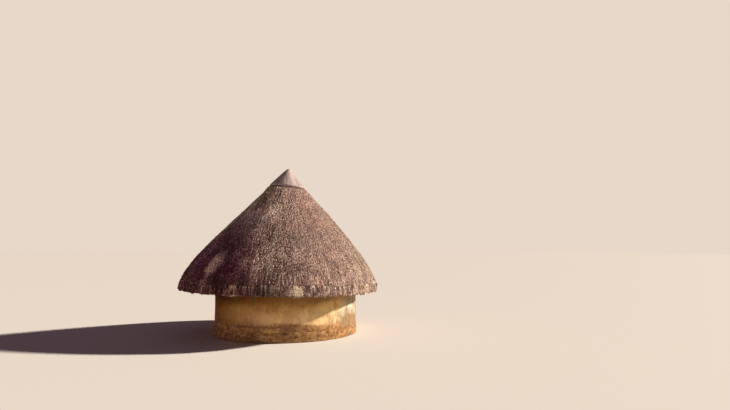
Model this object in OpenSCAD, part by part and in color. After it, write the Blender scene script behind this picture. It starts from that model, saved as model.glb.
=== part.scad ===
// Round thatched hut: an earth wall ring on a dark base course, with a
// leaning conical thatched roof on poles and a moulded cap over its apex.
// Millimetres, +Z up. The origin is the centre of the wall ring, on the
// ground. -Y is the front, the side seen in the photograph; +Y is the back,
// where the doorway is.

/* [Wall] */
// Outer diameter of the earth wall
wall_d = 4050; // [3900:10:4150]
// Thickness of the earth wall
wall_t = 220; // [200:10:230]
// Height of the base course
plinth_h = 280; // [200:10:320]
// How far the base course stands out from the wall
plinth_out = 25; // [10:5:40]
// Thickness of the rammed floor
floor_t = 100; // [80:5:120]
// Number of lengths that the wall ring was raised in
wall_lengths = 5; // [5:1:5]

/* [Doorway] */
// Clear width between the door posts
door_w = 800; // [700:10:900]
// Underside of the lintel above the ground
door_top = 1760; // [1600:10:1780]
// Top of the sill above the ground
sill_top = 130; // [110:5:160]
// Width of a door post, seen from the front
post_w = 90; // [70:5:100]
// Depth of a door post, through the wall
post_d = 180; // [150:5:180]
// Height of the lintel
lintel_h = 120; // [100:5:130]
// Length of the lintel that bears on the wall at each side
lintel_bearing = 150; // [100:10:200]

/* [Roof] */
// Height of the point that the straight upper slopes aim at
apex_z = 4990; // [4950:5:5020]
// How far that point stands to the right of the wall's centre
apex_x = 20; // [0:5:40]
// Lean of the roof to the right, degrees
roof_lean = 2.4; // [2:0.1:2.8]
// Height of the trimmed eave at the wall's centre line
eave_z = 1270; // [1200:5:1300]
// Slope of the eave's trim, down to the right, degrees
eave_tilt = 1; // [0:0.1:2]

/* [Poles] */
// Number of roof poles
pole_count = 16; // [16:4:16]
// Diameter of a roof pole
pole_d = 76; // [64:2:78]
// Horizontal reach of a roof pole from the roof's axis
pole_reach = 2320; // [2250:10:2330]
// Diameter of a thatching lath
lath_d = 30; // [24:2:32]
// Number of lath rings
lath_count = 11; // [11:1:11]
// Height of the wall plate
plate_h = 120; // [100:5:130]
// Width of the wall plate
plate_w = 120; // [100:5:130]

/* [Cap] */
// Radius of the cap at its rim
cap_r = 515; // [508:1:520]
// Height of the cap
cap_h = 515; // [505:1:525]
// Height of the middle of the cap's rim above the ground
cap_z = 4255; // [4250:1:4262]
// How far the middle of the rim stands to the left of the wall's centre
cap_left = 15; // [10:1:25]
// Lean of the cap to the right, degrees
cap_lean = 4.8; // [4:0.1:5]

/* [Hidden] */

// Circles metres across keep a fine outline.
BIG = 256;

wall_r = wall_d / 2;
wall_ri = wall_r - wall_t;
plinth_r = wall_r + plinth_out;

// Quarters of the roof, each from 45 degrees before its middle
FRONT = 225;
LEFT = 135;
BACK = 45;
RIGHT = -45;

// The ring is raised in lengths, counted from the doorway at the back
// (90 degrees) round by the left, the front and the right.
gap_half = 13.5;
length_step = (360 - 2 * gap_half) / wall_lengths;
function length_start(i) = 90 + gap_half + i * length_step;

// Doorway: rough opening between the ends of the wall, posts included.
rough_half = door_w / 2 + post_w;
lintel_half = rough_half + lintel_bearing;

// Roof poles. In the roof's own frame the origin is the apex point, r is the
// distance from the roof's axis and d is the depth below the apex. A pole's
// centre line is d = pole_d0 + pole_slope * r.
pole_slope = 1.04;
pole_d0 = 730;
pole_len1 = sqrt(1 + pole_slope * pole_slope);
pole_tilt = atan(1 / pole_slope);
// Depth from a pole's centre line to its underside, measured straight down
pole_under = pole_d / 2 * pole_len1;
// The thatch lies on laths that lie on the poles.
lath_off = pole_d / 2 + lath_d / 2;
thatch_off = pole_d / 2 + lath_d;
thatch_in0 = pole_d0 - thatch_off * pole_len1;
function thatch_in(r) = thatch_in0 + pole_slope * r;

// Outer outline of the thatch, [r, d], from the apex to the eave: a shallow
// shoulder under the cap's rim, straight below it, then rounding over and
// hanging steeply at the eave.
thatch_out = [
    [0, 300], [440, 760], [509, 815], [900, 1190], [1300, 1590], [1680, 1990],
    [2040, 2390], [2360, 2800], [2560, 3100], [2720, 3400], [2830, 3700],
    [2900, 4000]
];
// Inner outline past the ends of the poles
thatch_tail = [[2362, 3079], [2455, 3440], [2525, 3750], [2580, 4040]];
// The point on the straight inner face square below an outer point
function square_in(p) =
    let (t = (thatch_in(p[0]) - p[1]) / (1 / pole_len1 + pole_slope * pole_slope / pole_len1))
    [p[0] - t * pole_slope / pole_len1, p[1] + t / pole_len1];
function inner_point(i) = i == 0 ? [0, thatch_in0]
    : i < 8 ? square_in(thatch_out[i]) : thatch_tail[i - 8];

// Where the poles bear on the wall plate. A pole's underside meets the
// vertical line at x = s * bear_r, s = 1 on the right and -1 on the left.
bear_r = (wall_r + wall_ri) / 2 + 20 + plate_w / 2;
notch = 30;
under0 = pole_d0 + pole_under;
cl = cos(roof_lean);
sl = sin(roof_lean);
function bear_local(s) = (s * bear_r - apex_x + under0 * sl) * s / (cl - s * pole_slope * sl);
function bear_z(s) = apex_z - s * bear_local(s) * sl - (under0 + pole_slope * bear_local(s)) * cl;
plate_mid = (bear_z(1) + bear_z(-1)) / 2;
plate_tilt = atan((bear_z(-1) - bear_z(1)) / (2 * bear_r));
plate_ri = bear_r - plate_w;

boss_r = 220;
boss_low = 1100;
cap_x = -cap_left;

/* Shared shapes */

// A ring, or a stretch of one from angle a over da degrees, of section [r, z].
module ring(section, a = 0, da = 360) {
    if (da == 360) rotate_extrude($fn = BIG) polygon(section);
    else rotate_extrude(angle = da, start = a, $fn = BIG) polygon(section);
}

module in_roof_frame() {
    translate([apex_x, 0, apex_z]) rotate([0, roof_lean, 0]) children();
}

module in_plate_frame() {
    translate([0, 0, plate_mid + notch]) rotate([0, plate_tilt, 0]) children();
}

// Everything above the wall's slanting top
module above_wall() {
    in_plate_frame() translate([-3000, -3000, -plate_h]) cube([6000, 6000, 3000]);
}

// Everything below the eave's trim
module below_eave() {
    translate([0, 0, eave_z]) rotate([0, eave_tilt, 0])
        translate([-4000, -4000, -3000]) cube([8000, 8000, 3000]);
}

module rough_doorway(z0, z1) {
    translate([-rough_half, 1000, z0]) cube([2 * rough_half, 2000, z1 - z0]);
}

module lintel_space() {
    translate([-lintel_half, 1000, door_top]) cube([2 * lintel_half, 2000, lintel_h]);
}

/* Ground floor and wall */

module floor_disc() {
    color([0.46, 0.33, 0.23]) cylinder(r = wall_ri, h = floor_t, $fn = BIG);
}

module plinth_length(i) {
    color([0.38, 0.25, 0.17]) difference() {
        ring([[wall_ri, 0], [plinth_r, 0], [plinth_r, plinth_h - 30],
              [wall_r + 3, plinth_h], [wall_ri, plinth_h]],
             length_start(i), length_step);
        rough_doorway(-100, plinth_h + 100);
    }
}

module wall_length(i) {
    color([0.72, 0.53, 0.32]) difference() {
        ring([[wall_ri, plinth_h], [wall_r, plinth_h], [wall_r, 2600], [wall_ri, 2600]],
             length_start(i), length_step);
        above_wall();
        if (i == 0 || i == wall_lengths - 1) {
            rough_doorway(0, 3000);
            lintel_space();
        }
    }
}

module wall_over_door() {
    color([0.72, 0.53, 0.32]) intersection() {
        difference() {
            ring([[wall_ri, door_top + lintel_h], [wall_r, door_top + lintel_h],
                  [wall_r, 2600], [wall_ri, 2600]], 60, 60);
            above_wall();
        }
        rough_doorway(0, 3000);
    }
}

/* Doorway */

module door_sill() {
    color([0.40, 0.29, 0.20]) intersection() {
        ring([[wall_ri, 0], [plinth_r, 0], [plinth_r, sill_top - 15],
              [plinth_r - 15, sill_top], [wall_ri, sill_top]], 60, 60);
        rough_doorway(-10, 1000);
    }
}

// A squared post. Its depth is set a little inside both faces of the wall.
module door_post(s) {
    color([0.37, 0.27, 0.19])
        translate([s > 0 ? door_w / 2 : -door_w / 2 - post_w, wall_ri - 8, sill_top])
            cube([post_w, post_d, door_top - sill_top]);
}

// A straight timber hewn to the curve of the wall
module door_lintel() {
    color([0.37, 0.27, 0.19]) intersection() {
        ring([[wall_ri + 10, door_top], [wall_r - 10, door_top],
              [wall_r - 10, door_top + lintel_h], [wall_ri + 10, door_top + lintel_h]], 60, 60);
        lintel_space();
    }
}

/* Roof frame */

module plate_ring(a = 0, da = 360) {
    in_plate_frame() ring([[plate_ri, -plate_h], [plate_ri + plate_w, -plate_h],
                           [plate_ri + plate_w, 0], [plate_ri, 0]], a, da);
}

module wall_plate(quarter) {
    color([0.42, 0.31, 0.22]) plate_ring(quarter, 90);
}

module boss() {
    in_roof_frame() ring([[0, -thatch_in(0)], [boss_r, -thatch_in(boss_r)], [boss_r, -boss_low],
                          [boss_r - 30, -boss_low - 40], [0, -boss_low - 40]]);
}

module apex_boss() {
    color([0.42, 0.31, 0.22]) boss();
}

// One straight pole, from inside the boss out to its tail
module pole(a) {
    r0 = 140;
    rotate([0, 0, a])
        translate([r0, 0, -pole_d0 - pole_slope * r0])
            rotate([0, 180 - pole_tilt, 0])
                cylinder(d = pole_d, h = (pole_reach - r0) * pole_len1, $fn = 48);
}

// A quarter of the poles, birdsmouthed over the plate and cut to the boss
module poles(quarter) {
    color([0.45, 0.34, 0.24]) difference() {
        in_roof_frame()
            for (k = [0 : pole_count / 4 - 1])
                pole(quarter + (k + 0.5) * 360 / pole_count);
        plate_ring();
        boss();
    }
}

// Bent laths tied round the outside of the poles
module laths(first, last) {
    color([0.50, 0.40, 0.28]) in_roof_frame()
        for (i = [first : last]) {
            r = 360 + i * (pole_reach - 430) / (lath_count - 1);
            translate([0, 0, -pole_d0 - pole_slope * r + lath_off / pole_len1])
                rotate_extrude($fn = BIG)
                    translate([r + lath_off * pole_slope / pole_len1, 0]) circle(d = lath_d, $fn = 32);
        }
}

/* Thatch and cap */

// The thatch between outline points a and b, cut square to the slope
module thatch_body(a, b, start = 0, da = 360) {
    in_roof_frame() ring([
        for (i = [a : b]) [thatch_out[i][0], -thatch_out[i][1]],
        for (i = [b : -1 : a]) [inner_point(i)[0], -inner_point(i)[1]]
    ], start, da);
}

module thatch_course(a, b, start = 0, da = 360) {
    color([0.52, 0.42, 0.36]) thatch_body(a, b, start, da);
}

module thatch_eave(quarter) {
    color([0.52, 0.42, 0.36]) difference() {
        thatch_body(9, 11, quarter, 90);
        below_eave();
    }
}

// Smooth conical cap, rounded at the tip, moulded onto the thatch
module roof_cap() {
    color([0.66, 0.57, 0.53]) difference() {
        translate([cap_x, 0, cap_z]) rotate([0, cap_lean, 0])
            ring([[0, -60], [cap_r - 20, -60], [cap_r - 6, -50], [cap_r, -36],
                  [cap_r, -22], [cap_r - 8, 0], [cap_r - 105, 112],
                  [cap_r - 205, 228], [cap_r - 305, 344], [cap_r - 400, 446],
                  [cap_r - 432, cap_h - 36], [cap_r - 462, cap_h - 12],
                  [cap_r - 485, cap_h - 2], [0, cap_h]]);
        in_roof_frame() ring([
            for (i = [0 : 3]) [thatch_out[i][0], -thatch_out[i][1]],
            [0, -thatch_out[3][1]]
        ]);
    }
}

floor_disc();  // floor
plinth_length(0);  // plinth_back_left
plinth_length(1);  // plinth_front_left
plinth_length(2);  // plinth_front
plinth_length(3);  // plinth_front_right
plinth_length(4);  // plinth_back_right
wall_length(0);  // wall_back_left
wall_length(1);  // wall_front_left
wall_length(2);  // wall_front
wall_length(3);  // wall_front_right
wall_length(4);  // wall_back_right
wall_over_door();
door_sill();
door_post(-1);  // door_post_left
door_post(1);  // door_post_right
door_lintel();
wall_plate(FRONT);  // wall_plate_front
wall_plate(LEFT);  // wall_plate_left
wall_plate(BACK);  // wall_plate_back
wall_plate(RIGHT);  // wall_plate_right
poles(FRONT);  // poles_front
poles(LEFT);  // poles_left
poles(BACK);  // poles_back
poles(RIGHT);  // poles_right
apex_boss();
laths(8, 10);  // laths_lower
laths(4, 7);  // laths_middle
laths(0, 3);  // laths_upper
thatch_eave(FRONT);  // thatch_eave_front
thatch_eave(LEFT);  // thatch_eave_left
thatch_eave(BACK);  // thatch_eave_back
thatch_eave(RIGHT);  // thatch_eave_right
thatch_course(7, 9, FRONT, 90);  // thatch_lower_front
thatch_course(7, 9, LEFT, 90);  // thatch_lower_left
thatch_course(7, 9, BACK, 90);  // thatch_lower_back
thatch_course(7, 9, RIGHT, 90);  // thatch_lower_right
thatch_course(5, 7, FRONT, 90);  // thatch_middle_front
thatch_course(5, 7, LEFT, 90);  // thatch_middle_left
thatch_course(5, 7, BACK, 90);  // thatch_middle_back
thatch_course(5, 7, RIGHT, 90);  // thatch_middle_right
thatch_course(3, 5);  // thatch_upper
thatch_course(0, 3);  // thatch_top
roof_cap();
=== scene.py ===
"""Looks of the round thatched hut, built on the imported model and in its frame.

Metres, +Z up. -Y is the front, the side seen in the photograph; +Y is the
back, where the doorway is. Lengths repeat those of the part's source.
"""
import math

import bpy
import numpy as np
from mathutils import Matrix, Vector


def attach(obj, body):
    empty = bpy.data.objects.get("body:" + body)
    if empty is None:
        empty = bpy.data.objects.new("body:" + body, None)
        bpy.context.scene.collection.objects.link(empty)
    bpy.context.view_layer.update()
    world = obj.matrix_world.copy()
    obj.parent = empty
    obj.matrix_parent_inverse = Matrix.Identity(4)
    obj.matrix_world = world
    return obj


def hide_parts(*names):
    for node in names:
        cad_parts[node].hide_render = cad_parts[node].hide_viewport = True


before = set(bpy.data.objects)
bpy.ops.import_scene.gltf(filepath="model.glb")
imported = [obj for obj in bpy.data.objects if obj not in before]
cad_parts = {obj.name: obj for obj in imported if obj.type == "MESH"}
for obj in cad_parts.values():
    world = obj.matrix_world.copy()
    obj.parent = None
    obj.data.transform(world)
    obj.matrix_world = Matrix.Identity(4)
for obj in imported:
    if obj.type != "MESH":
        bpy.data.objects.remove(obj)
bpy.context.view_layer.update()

TAU = 2 * math.pi

# ---------------------------------------------------------------------------
# Camera, lights and floor
# ---------------------------------------------------------------------------
scene = bpy.context.scene
scene.view_settings.view_transform = "Standard"

camera = bpy.data.objects.new("camera", bpy.data.cameras.new("camera"))
camera.data.lens = 26.0
camera.data.sensor_width = 36.0
camera.data.clip_end = 400.0
camera.location = (0.0, -15.8, 2.44)
camera.rotation_euler = (math.radians(94.56), 0.0, math.radians(-8.366))
scene.collection.objects.link(camera)
scene.camera = camera


def soft_light(name, azimuth, elevation, spread, power, colour, distance=30.0, aim=(0, 0, 1.6)):
    light = bpy.data.lights.new(name, "SUN")
    light.angle = math.radians(spread)
    light.energy = power
    light.color = colour
    ob = bpy.data.objects.new(name, light)
    a, e = math.radians(azimuth), math.radians(elevation)
    towards = Vector((math.cos(e) * math.cos(a), math.cos(e) * math.sin(a), math.sin(e)))
    ob.location = Vector(aim) + towards * distance
    ob.rotation_euler = towards.to_track_quat("Z", "Y").to_euler()
    scene.collection.objects.link(ob)


soft_light("key_light", 4, 25.8, 3.0, 6.9, (1.0, 0.89, 0.76))

world = bpy.data.worlds.new("studio")
scene.world = world
world.use_nodes = True
wn = world.node_tree
wn.nodes.clear()
w_out = wn.nodes.new("ShaderNodeOutputWorld")
w_mix = wn.nodes.new("ShaderNodeMixShader")
w_ambient = wn.nodes.new("ShaderNodeBackground")
w_ambient.inputs[0].default_value = (1.0, 0.67, 0.82, 1)
w_ambient.inputs[1].default_value = 0.087
w_seen = wn.nodes.new("ShaderNodeBackground")
w_seen.inputs[0].default_value = (0.802, 0.686, 0.585, 1)
w_seen.inputs[1].default_value = 1.0
w_path = wn.nodes.new("ShaderNodeLightPath")
wn.links.new(w_path.outputs["Is Camera Ray"], w_mix.inputs[0])
wn.links.new(w_ambient.outputs[0], w_mix.inputs[1])
wn.links.new(w_seen.outputs[0], w_mix.inputs[2])
wn.links.new(w_mix.outputs[0], w_out.inputs[0])


# ---------------------------------------------------------------------------
# Patterns that repeat round the hut
# ---------------------------------------------------------------------------
def scramble(i, j, seed):
    with np.errstate(over="ignore"):
        h = (
            i.astype(np.int64).astype(np.uint32) * np.uint32(374761393)
            + j.astype(np.int64).astype(np.uint32) * np.uint32(668265263)
            + np.uint32((seed * 2246822519) % 4294967296)
        )
        h = (h ^ (h >> np.uint32(13))) * np.uint32(1274126177)
        h = (h ^ (h >> np.uint32(16))) * np.uint32(2654435769)
        h = h ^ (h >> np.uint32(15))
    return h.astype(np.float64) / 4294967295.0


def lattice(u, v, period, seed):
    """Smooth noise from -1 to 1 that repeats every period cells of u."""
    u, v = np.broadcast_arrays(np.asarray(u, float), np.asarray(v, float))
    iu, iv = np.floor(u), np.floor(v)
    fu, fv = u - iu, v - iv
    fu = fu * fu * (3 - 2 * fu)
    fv = fv * fv * (3 - 2 * fv)
    a, b = np.mod(iu, period), np.mod(iu + 1, period)
    low = scramble(a, iv, seed) * (1 - fu) + scramble(b, iv, seed) * fu
    high = scramble(a, iv + 1, seed) * (1 - fu) + scramble(b, iv + 1, seed) * fu
    return (low * (1 - fv) + high * fv) * 2 - 1


def round_noise(a, v, cells, pitch, seed):
    """Noise round the hut: cells to the full turn, pitch metres along v."""
    return lattice(a / TAU * cells, v / pitch, cells, seed)


def even_noise(a, s, r, width, pitch, seed):
    """Noise round the hut whose cells stay about width metres across at any radius r."""
    total = np.zeros(np.broadcast(a, s).shape)
    for k, n in enumerate((24, 48, 96, 192, 384, 768)):
        weight = np.clip(1 - np.abs(np.log2(TAU * np.maximum(r, 0.05) / n / width)), 0, 1)
        total = total + weight * round_noise(a, s, n, pitch, seed + k)
    return total


def smooth(x, low, high):
    t = np.clip((x - low) / (high - low), 0, 1)
    return t * t * (3 - 2 * t)


def turn(a, centre):
    """Signed angle from centre to a, in degrees, both given in degrees."""
    return (a - centre + 180) % 360 - 180


# ---------------------------------------------------------------------------
# Meshes
# ---------------------------------------------------------------------------
class Piece:
    """Gathers points and faces, and makes one object of them."""

    def __init__(self, name, values=()):
        self.name = name
        self.points, self.count = [], 0
        self.values = {key: [] for key in values}
        self.faces, self.runs, self.bakes, self.mats, self.smooth = [], [], [], [], []

    def add_points(self, points, **values):
        points = np.asarray(points, float).reshape(-1, 3)
        start = self.count
        self.points.append(points)
        self.count += len(points)
        for key in self.values:
            given = values.get(key, 0.0)
            self.values[key].append(np.broadcast_to(given, (len(points),)).astype(float))
        return start

    def add_faces(self, faces, run, mat=0, smooth=True, bake=None):
        self.faces.append(np.asarray(faces))
        self.runs.append(np.asarray(run, float).reshape(-1, 2))
        self.bakes.append(None if bake is None else np.asarray(bake, float).reshape(-1, 2))
        self.mats.append(mat)
        self.smooth.append(smooth)

    def build(self, materials, replaces):
        co = np.concatenate(self.points)
        me = bpy.data.meshes.new(self.name)
        me.vertices.add(len(co))
        me.vertices.foreach_set("co", co.astype(np.float32).ravel())
        corners = np.concatenate([f.ravel() for f in self.faces]).astype(np.int32)
        sides = np.concatenate([np.full(len(f), f.shape[1]) for f in self.faces])
        starts = np.concatenate([[0], np.cumsum(sides)[:-1]]).astype(np.int32)
        me.loops.add(len(corners))
        me.loops.foreach_set("vertex_index", corners)
        me.polygons.add(len(sides))
        me.polygons.foreach_set("loop_start", starts)
        me.polygons.foreach_set(
            "material_index",
            np.concatenate([np.full(len(f), m) for f, m in zip(self.faces, self.mats)]).astype(np.int32),
        )
        me.polygons.foreach_set(
            "use_smooth",
            np.concatenate([np.full(len(f), s) for f, s in zip(self.faces, self.smooth)]),
        )
        me.update(calc_edges=True)
        run = me.uv_layers.new(name="Run")
        run.uv.foreach_set("vector", np.concatenate(self.runs).astype(np.float32).ravel())
        if all(b is not None for b in self.bakes):
            bake = me.uv_layers.new(name="OFBake")
            bake.uv.foreach_set("vector", np.concatenate(self.bakes).astype(np.float32).ravel())
        for key, parts in self.values.items():
            found = me.attributes.new(key, "FLOAT", "POINT")
            found.data.foreach_set("value", np.concatenate(parts).astype(np.float32))
        if me.validate():
            print("validate changed", self.name)
        for m in materials:
            me.materials.append(m)
        ob = bpy.data.objects.new(self.name, me)
        scene.collection.objects.link(ob)
        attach(ob, "root")
        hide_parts(*replaces)
        return ob


def net(points, wrap_rows=False, wrap_cols=False):
    """Four-sided faces over a grid of points, and each corner's row and column, counted on past a join."""
    rows, cols = points.shape[:2]
    i, j = np.meshgrid(
        np.arange(rows if wrap_rows else rows - 1),
        np.arange(cols if wrap_cols else cols - 1),
        indexing="ij",
    )
    ci = np.stack([i, i, i + 1, i + 1], -1).reshape(-1, 4)
    cj = np.stack([j, j + 1, j + 1, j], -1).reshape(-1, 4)
    faces = (ci % rows) * cols + cj % cols
    flat = points.reshape(-1, 3)
    p = flat[faces]
    mid = flat.mean(0)
    a, b, c, d = (p[:, k] - mid for k in range(4))
    volume = (np.einsum("ij,ij->i", a, np.cross(b, c)) + np.einsum("ij,ij->i", a, np.cross(c, d))).sum()
    if volume < 0:
        faces, ci, cj = faces[:, ::-1], ci[:, ::-1], cj[:, ::-1]
    return flat, faces, ci, cj


def lengths_along(p):
    """Running length along the rows of points p."""
    return np.concatenate([[0], np.cumsum(np.linalg.norm(np.diff(p, axis=0), axis=1))])


# ---------------------------------------------------------------------------
# Materials
# ---------------------------------------------------------------------------
class Look:
    """A node material, put together by short calls."""

    def __init__(self, name):
        self.mat = bpy.data.materials.new(name)
        self.mat.use_nodes = True
        self.tree = self.mat.node_tree
        self.tree.nodes.clear()
        self.out = self.tree.nodes.new("ShaderNodeOutputMaterial")
        self.shader = self.tree.nodes.new("ShaderNodeBsdfPrincipled")
        self.tree.links.new(self.shader.outputs[0], self.out.inputs[0])
        self.place = self.tree.nodes.new("ShaderNodeTexCoord").outputs["Object"]
        run = self.tree.nodes.new("ShaderNodeUVMap")
        run.uv_map = "Run"
        self.run = run.outputs[0]

    def put(self, socket, value):
        if isinstance(value, bpy.types.NodeSocket):
            self.tree.links.new(value, socket)
        elif isinstance(value, (tuple, list)) and len(value) == 3 and socket.type == "RGBA":
            socket.default_value = (*value, 1.0)
        else:
            socket.default_value = value

    def node(self, kind, **props):
        n = self.tree.nodes.new(kind)
        for key, value in props.items():
            setattr(n, key, value)
        return n

    def value(self, name):
        return self.node("ShaderNodeAttribute", attribute_name=name).outputs["Fac"]

    def calc(self, op, a, b=None, clamp=False):
        n = self.node("ShaderNodeMath", operation=op, use_clamp=clamp)
        self.put(n.inputs[0], a)
        if b is not None:
            self.put(n.inputs[1], b)
        return n.outputs[0]

    def times(self, a, b):
        return self.calc("MULTIPLY", a, b)

    def span(self, x, low, high, a=0.0, b=1.0):
        n = self.node("ShaderNodeMapRange", interpolation_type="SMOOTHSTEP")
        for k, v in enumerate((x, low, high, a, b)):
            self.put(n.inputs[k], v)
        return n.outputs[0]

    def stretch(self, vector, x, y, z=1.0):
        n = self.node("ShaderNodeVectorMath", operation="MULTIPLY")
        self.put(n.inputs[0], vector)
        n.inputs[1].default_value = (x, y, z)
        return n.outputs[0]

    def noise(self, vector, scale, detail=2.0, rough=0.5, twist=0.0):
        n = self.node("ShaderNodeTexNoise")
        self.put(n.inputs["Vector"], vector)
        n.inputs["Scale"].default_value = scale
        n.inputs["Detail"].default_value = detail
        n.inputs["Roughness"].default_value = rough
        n.inputs["Distortion"].default_value = twist
        return n.outputs["Fac"]

    def cells(self, vector, scale, feature="F1", out="Distance"):
        n = self.node("ShaderNodeTexVoronoi", feature=feature)
        self.put(n.inputs["Vector"], vector)
        n.inputs["Scale"].default_value = scale
        return n.outputs[out]

    def mix(self, factor, a, b, blend="MIX"):
        n = self.node("ShaderNodeMix", data_type="RGBA", blend_type=blend)
        self.put(n.inputs[0], factor)
        self.put(n.inputs[6], a)
        self.put(n.inputs[7], b)
        return n.outputs[2]

    def ramp(self, factor, stops):
        n = self.node("ShaderNodeValToRGB")
        self.put(n.inputs[0], factor)
        line = n.color_ramp
        while len(line.elements) < len(stops):
            line.elements.new(0.5)
        for e, (at, colour) in zip(line.elements, stops):
            e.position = at
            e.color = (*colour, 1.0)
        return n.outputs[0]

    def shade(self, colour, by):
        """colour times the number by."""
        n = self.node("ShaderNodeVectorMath", operation="SCALE")
        self.put(n.inputs[0], colour)
        self.put(n.inputs[3], by)
        return n.outputs[0]

    def parts(self, vector):
        n = self.node("ShaderNodeSeparateXYZ")
        self.put(n.inputs[0], vector)
        return n.outputs

    def finish(self, colour, rough, height=None, depth=0.002, specular=0.25):
        self.put(self.shader.inputs["Base Color"], colour)
        self.put(self.shader.inputs["Roughness"], rough)
        self.shader.inputs["Specular IOR Level"].default_value = specular
        if height is not None:
            bump = self.node("ShaderNodeBump")
            bump.inputs["Strength"].default_value = 1.0
            bump.inputs["Distance"].default_value = depth
            self.put(bump.inputs["Height"], height)
            self.tree.links.new(bump.outputs[0], self.shader.inputs["Normal"])
        return self.mat


def add_up(look, *terms):
    total = terms[0]
    for t in terms[1:]:
        total = look.calc("ADD", total, t)
    return total


STRAW = [
    (0.00, (0.034, 0.010, 0.014)),
    (0.25, (0.125, 0.058, 0.060)),
    (0.50, (0.310, 0.188, 0.163)),
    (0.75, (0.600, 0.430, 0.350)),
    (0.94, (0.880, 0.720, 0.555)),
    (1.00, (0.940, 0.830, 0.700)),
]


def straw_colour(k, tint):
    """Weathered straw: tint picks the stem, and the piece's own values say where it is bleached, mossy or dark, and
    where light and shade are painted on.
    """
    base = k.ramp(tint, STRAW)
    patchy = k.noise(k.place, 1.1, 3.0, 0.55)
    base = k.shade(base, k.span(patchy, 0.30, 0.72, 0.78, 1.18))
    warm = k.noise(k.place, 3.1, 2.0)
    base = k.mix(k.span(warm, 0.45, 0.75, 0.0, 0.35), base, k.mix(1.0, base, (1.10, 0.86, 0.78), "MULTIPLY"))
    x, y, z = k.parts(k.place)
    # painted shade: a purple tint on the shaded left, low down and towards the front
    painted_shade_purple = k.times(k.span(x, -1.7, -0.2, 1.0, 0.0), k.span(k.calc("ADD", z, k.times(patchy, 0.8)), 2.9, 3.8, 1.0, 0.0))
    painted_shade_purple = k.times(painted_shade_purple, k.times(k.span(tint, 0.45, 0.85, 1.0, 0.42), k.value("out")))
    painted_shade_purple = k.times(painted_shade_purple, k.span(y, 0.1, 1.3, 1.0, 0.40))
    base = k.mix(painted_shade_purple, base, k.mix(1.0, base, k.mix(k.span(z, 1.3, 2.1), (0.64, 0.185, 0.30), (0.66, 0.195, 0.62)), "MULTIPLY"))
    # painted light: a greener, slightly paler tint on the sunlit right
    base = k.mix(k.times(k.span(x, 0.2, 2.2), k.value("out")), base, k.mix(1.0, base, (1.03, 1.14, 1.08), "MULTIPLY"))
    cool = k.times(k.span(x, -0.9, -0.1, 1.0, 0.0), k.span(z, 2.7, 3.2))
    base = k.mix(k.times(cool, k.span(y, 0.1, 1.3, 1.0, 0.0)), base, k.mix(1.0, base, (1.03, 1.07, 1.18), "MULTIPLY"))
    base = k.mix(k.span(k.value("out"), 1.0, 2.0), base, k.mix(1.0, base, (0.93, 1.02, 1.03), "MULTIPLY"))
    base = k.mix(k.value("moss"), base, k.mix(1.0, base, (0.98, 1.30, 0.62), "MULTIPLY"))
    return k.shade(base, k.value("age"))


def make_straw():
    k = Look("thatch_straw")
    grain = k.noise(k.stretch(k.run, 300, 22), 1.0, 2.0, 0.6)
    tint = k.calc("ADD", k.value("tint"), k.span(grain, 0.3, 0.7, -0.09, 0.09))
    colour = straw_colour(k, tint)
    # painted shade: stems darker towards their roots, where they lie under the stems above
    tip = k.value("tip")
    colour = k.shade(colour, k.span(tip, 0.2, 0.9, 0.72, 1.05))
    rough = k.span(grain, 0.3, 0.7, 0.80, 0.95)
    return k.finish(colour, rough, specular=0.2)


def make_straw_bed():
    """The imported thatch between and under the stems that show."""
    k = Look("thatch_bed")
    stems = k.noise(k.stretch(k.run, 85, 5.5), 1.0, 3.0, 0.6)
    fine = k.noise(k.stretch(k.run, 230, 14), 1.0, 2.0, 0.6)
    # painted shade: the bed is coloured darker than the stems, for the gaps between them
    tint = add_up(k, k.span(stems, 0.30, 0.72, 0.14, 0.66), k.span(fine, 0.3, 0.7, -0.10, 0.10))
    colour = k.shade(straw_colour(k, tint), 0.92)
    height = add_up(k, k.times(stems, 0.7), k.times(fine, 0.3))
    return k.finish(colour, k.span(fine, 0.3, 0.7, 0.84, 0.97), height, 0.010, specular=0.15)


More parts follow.
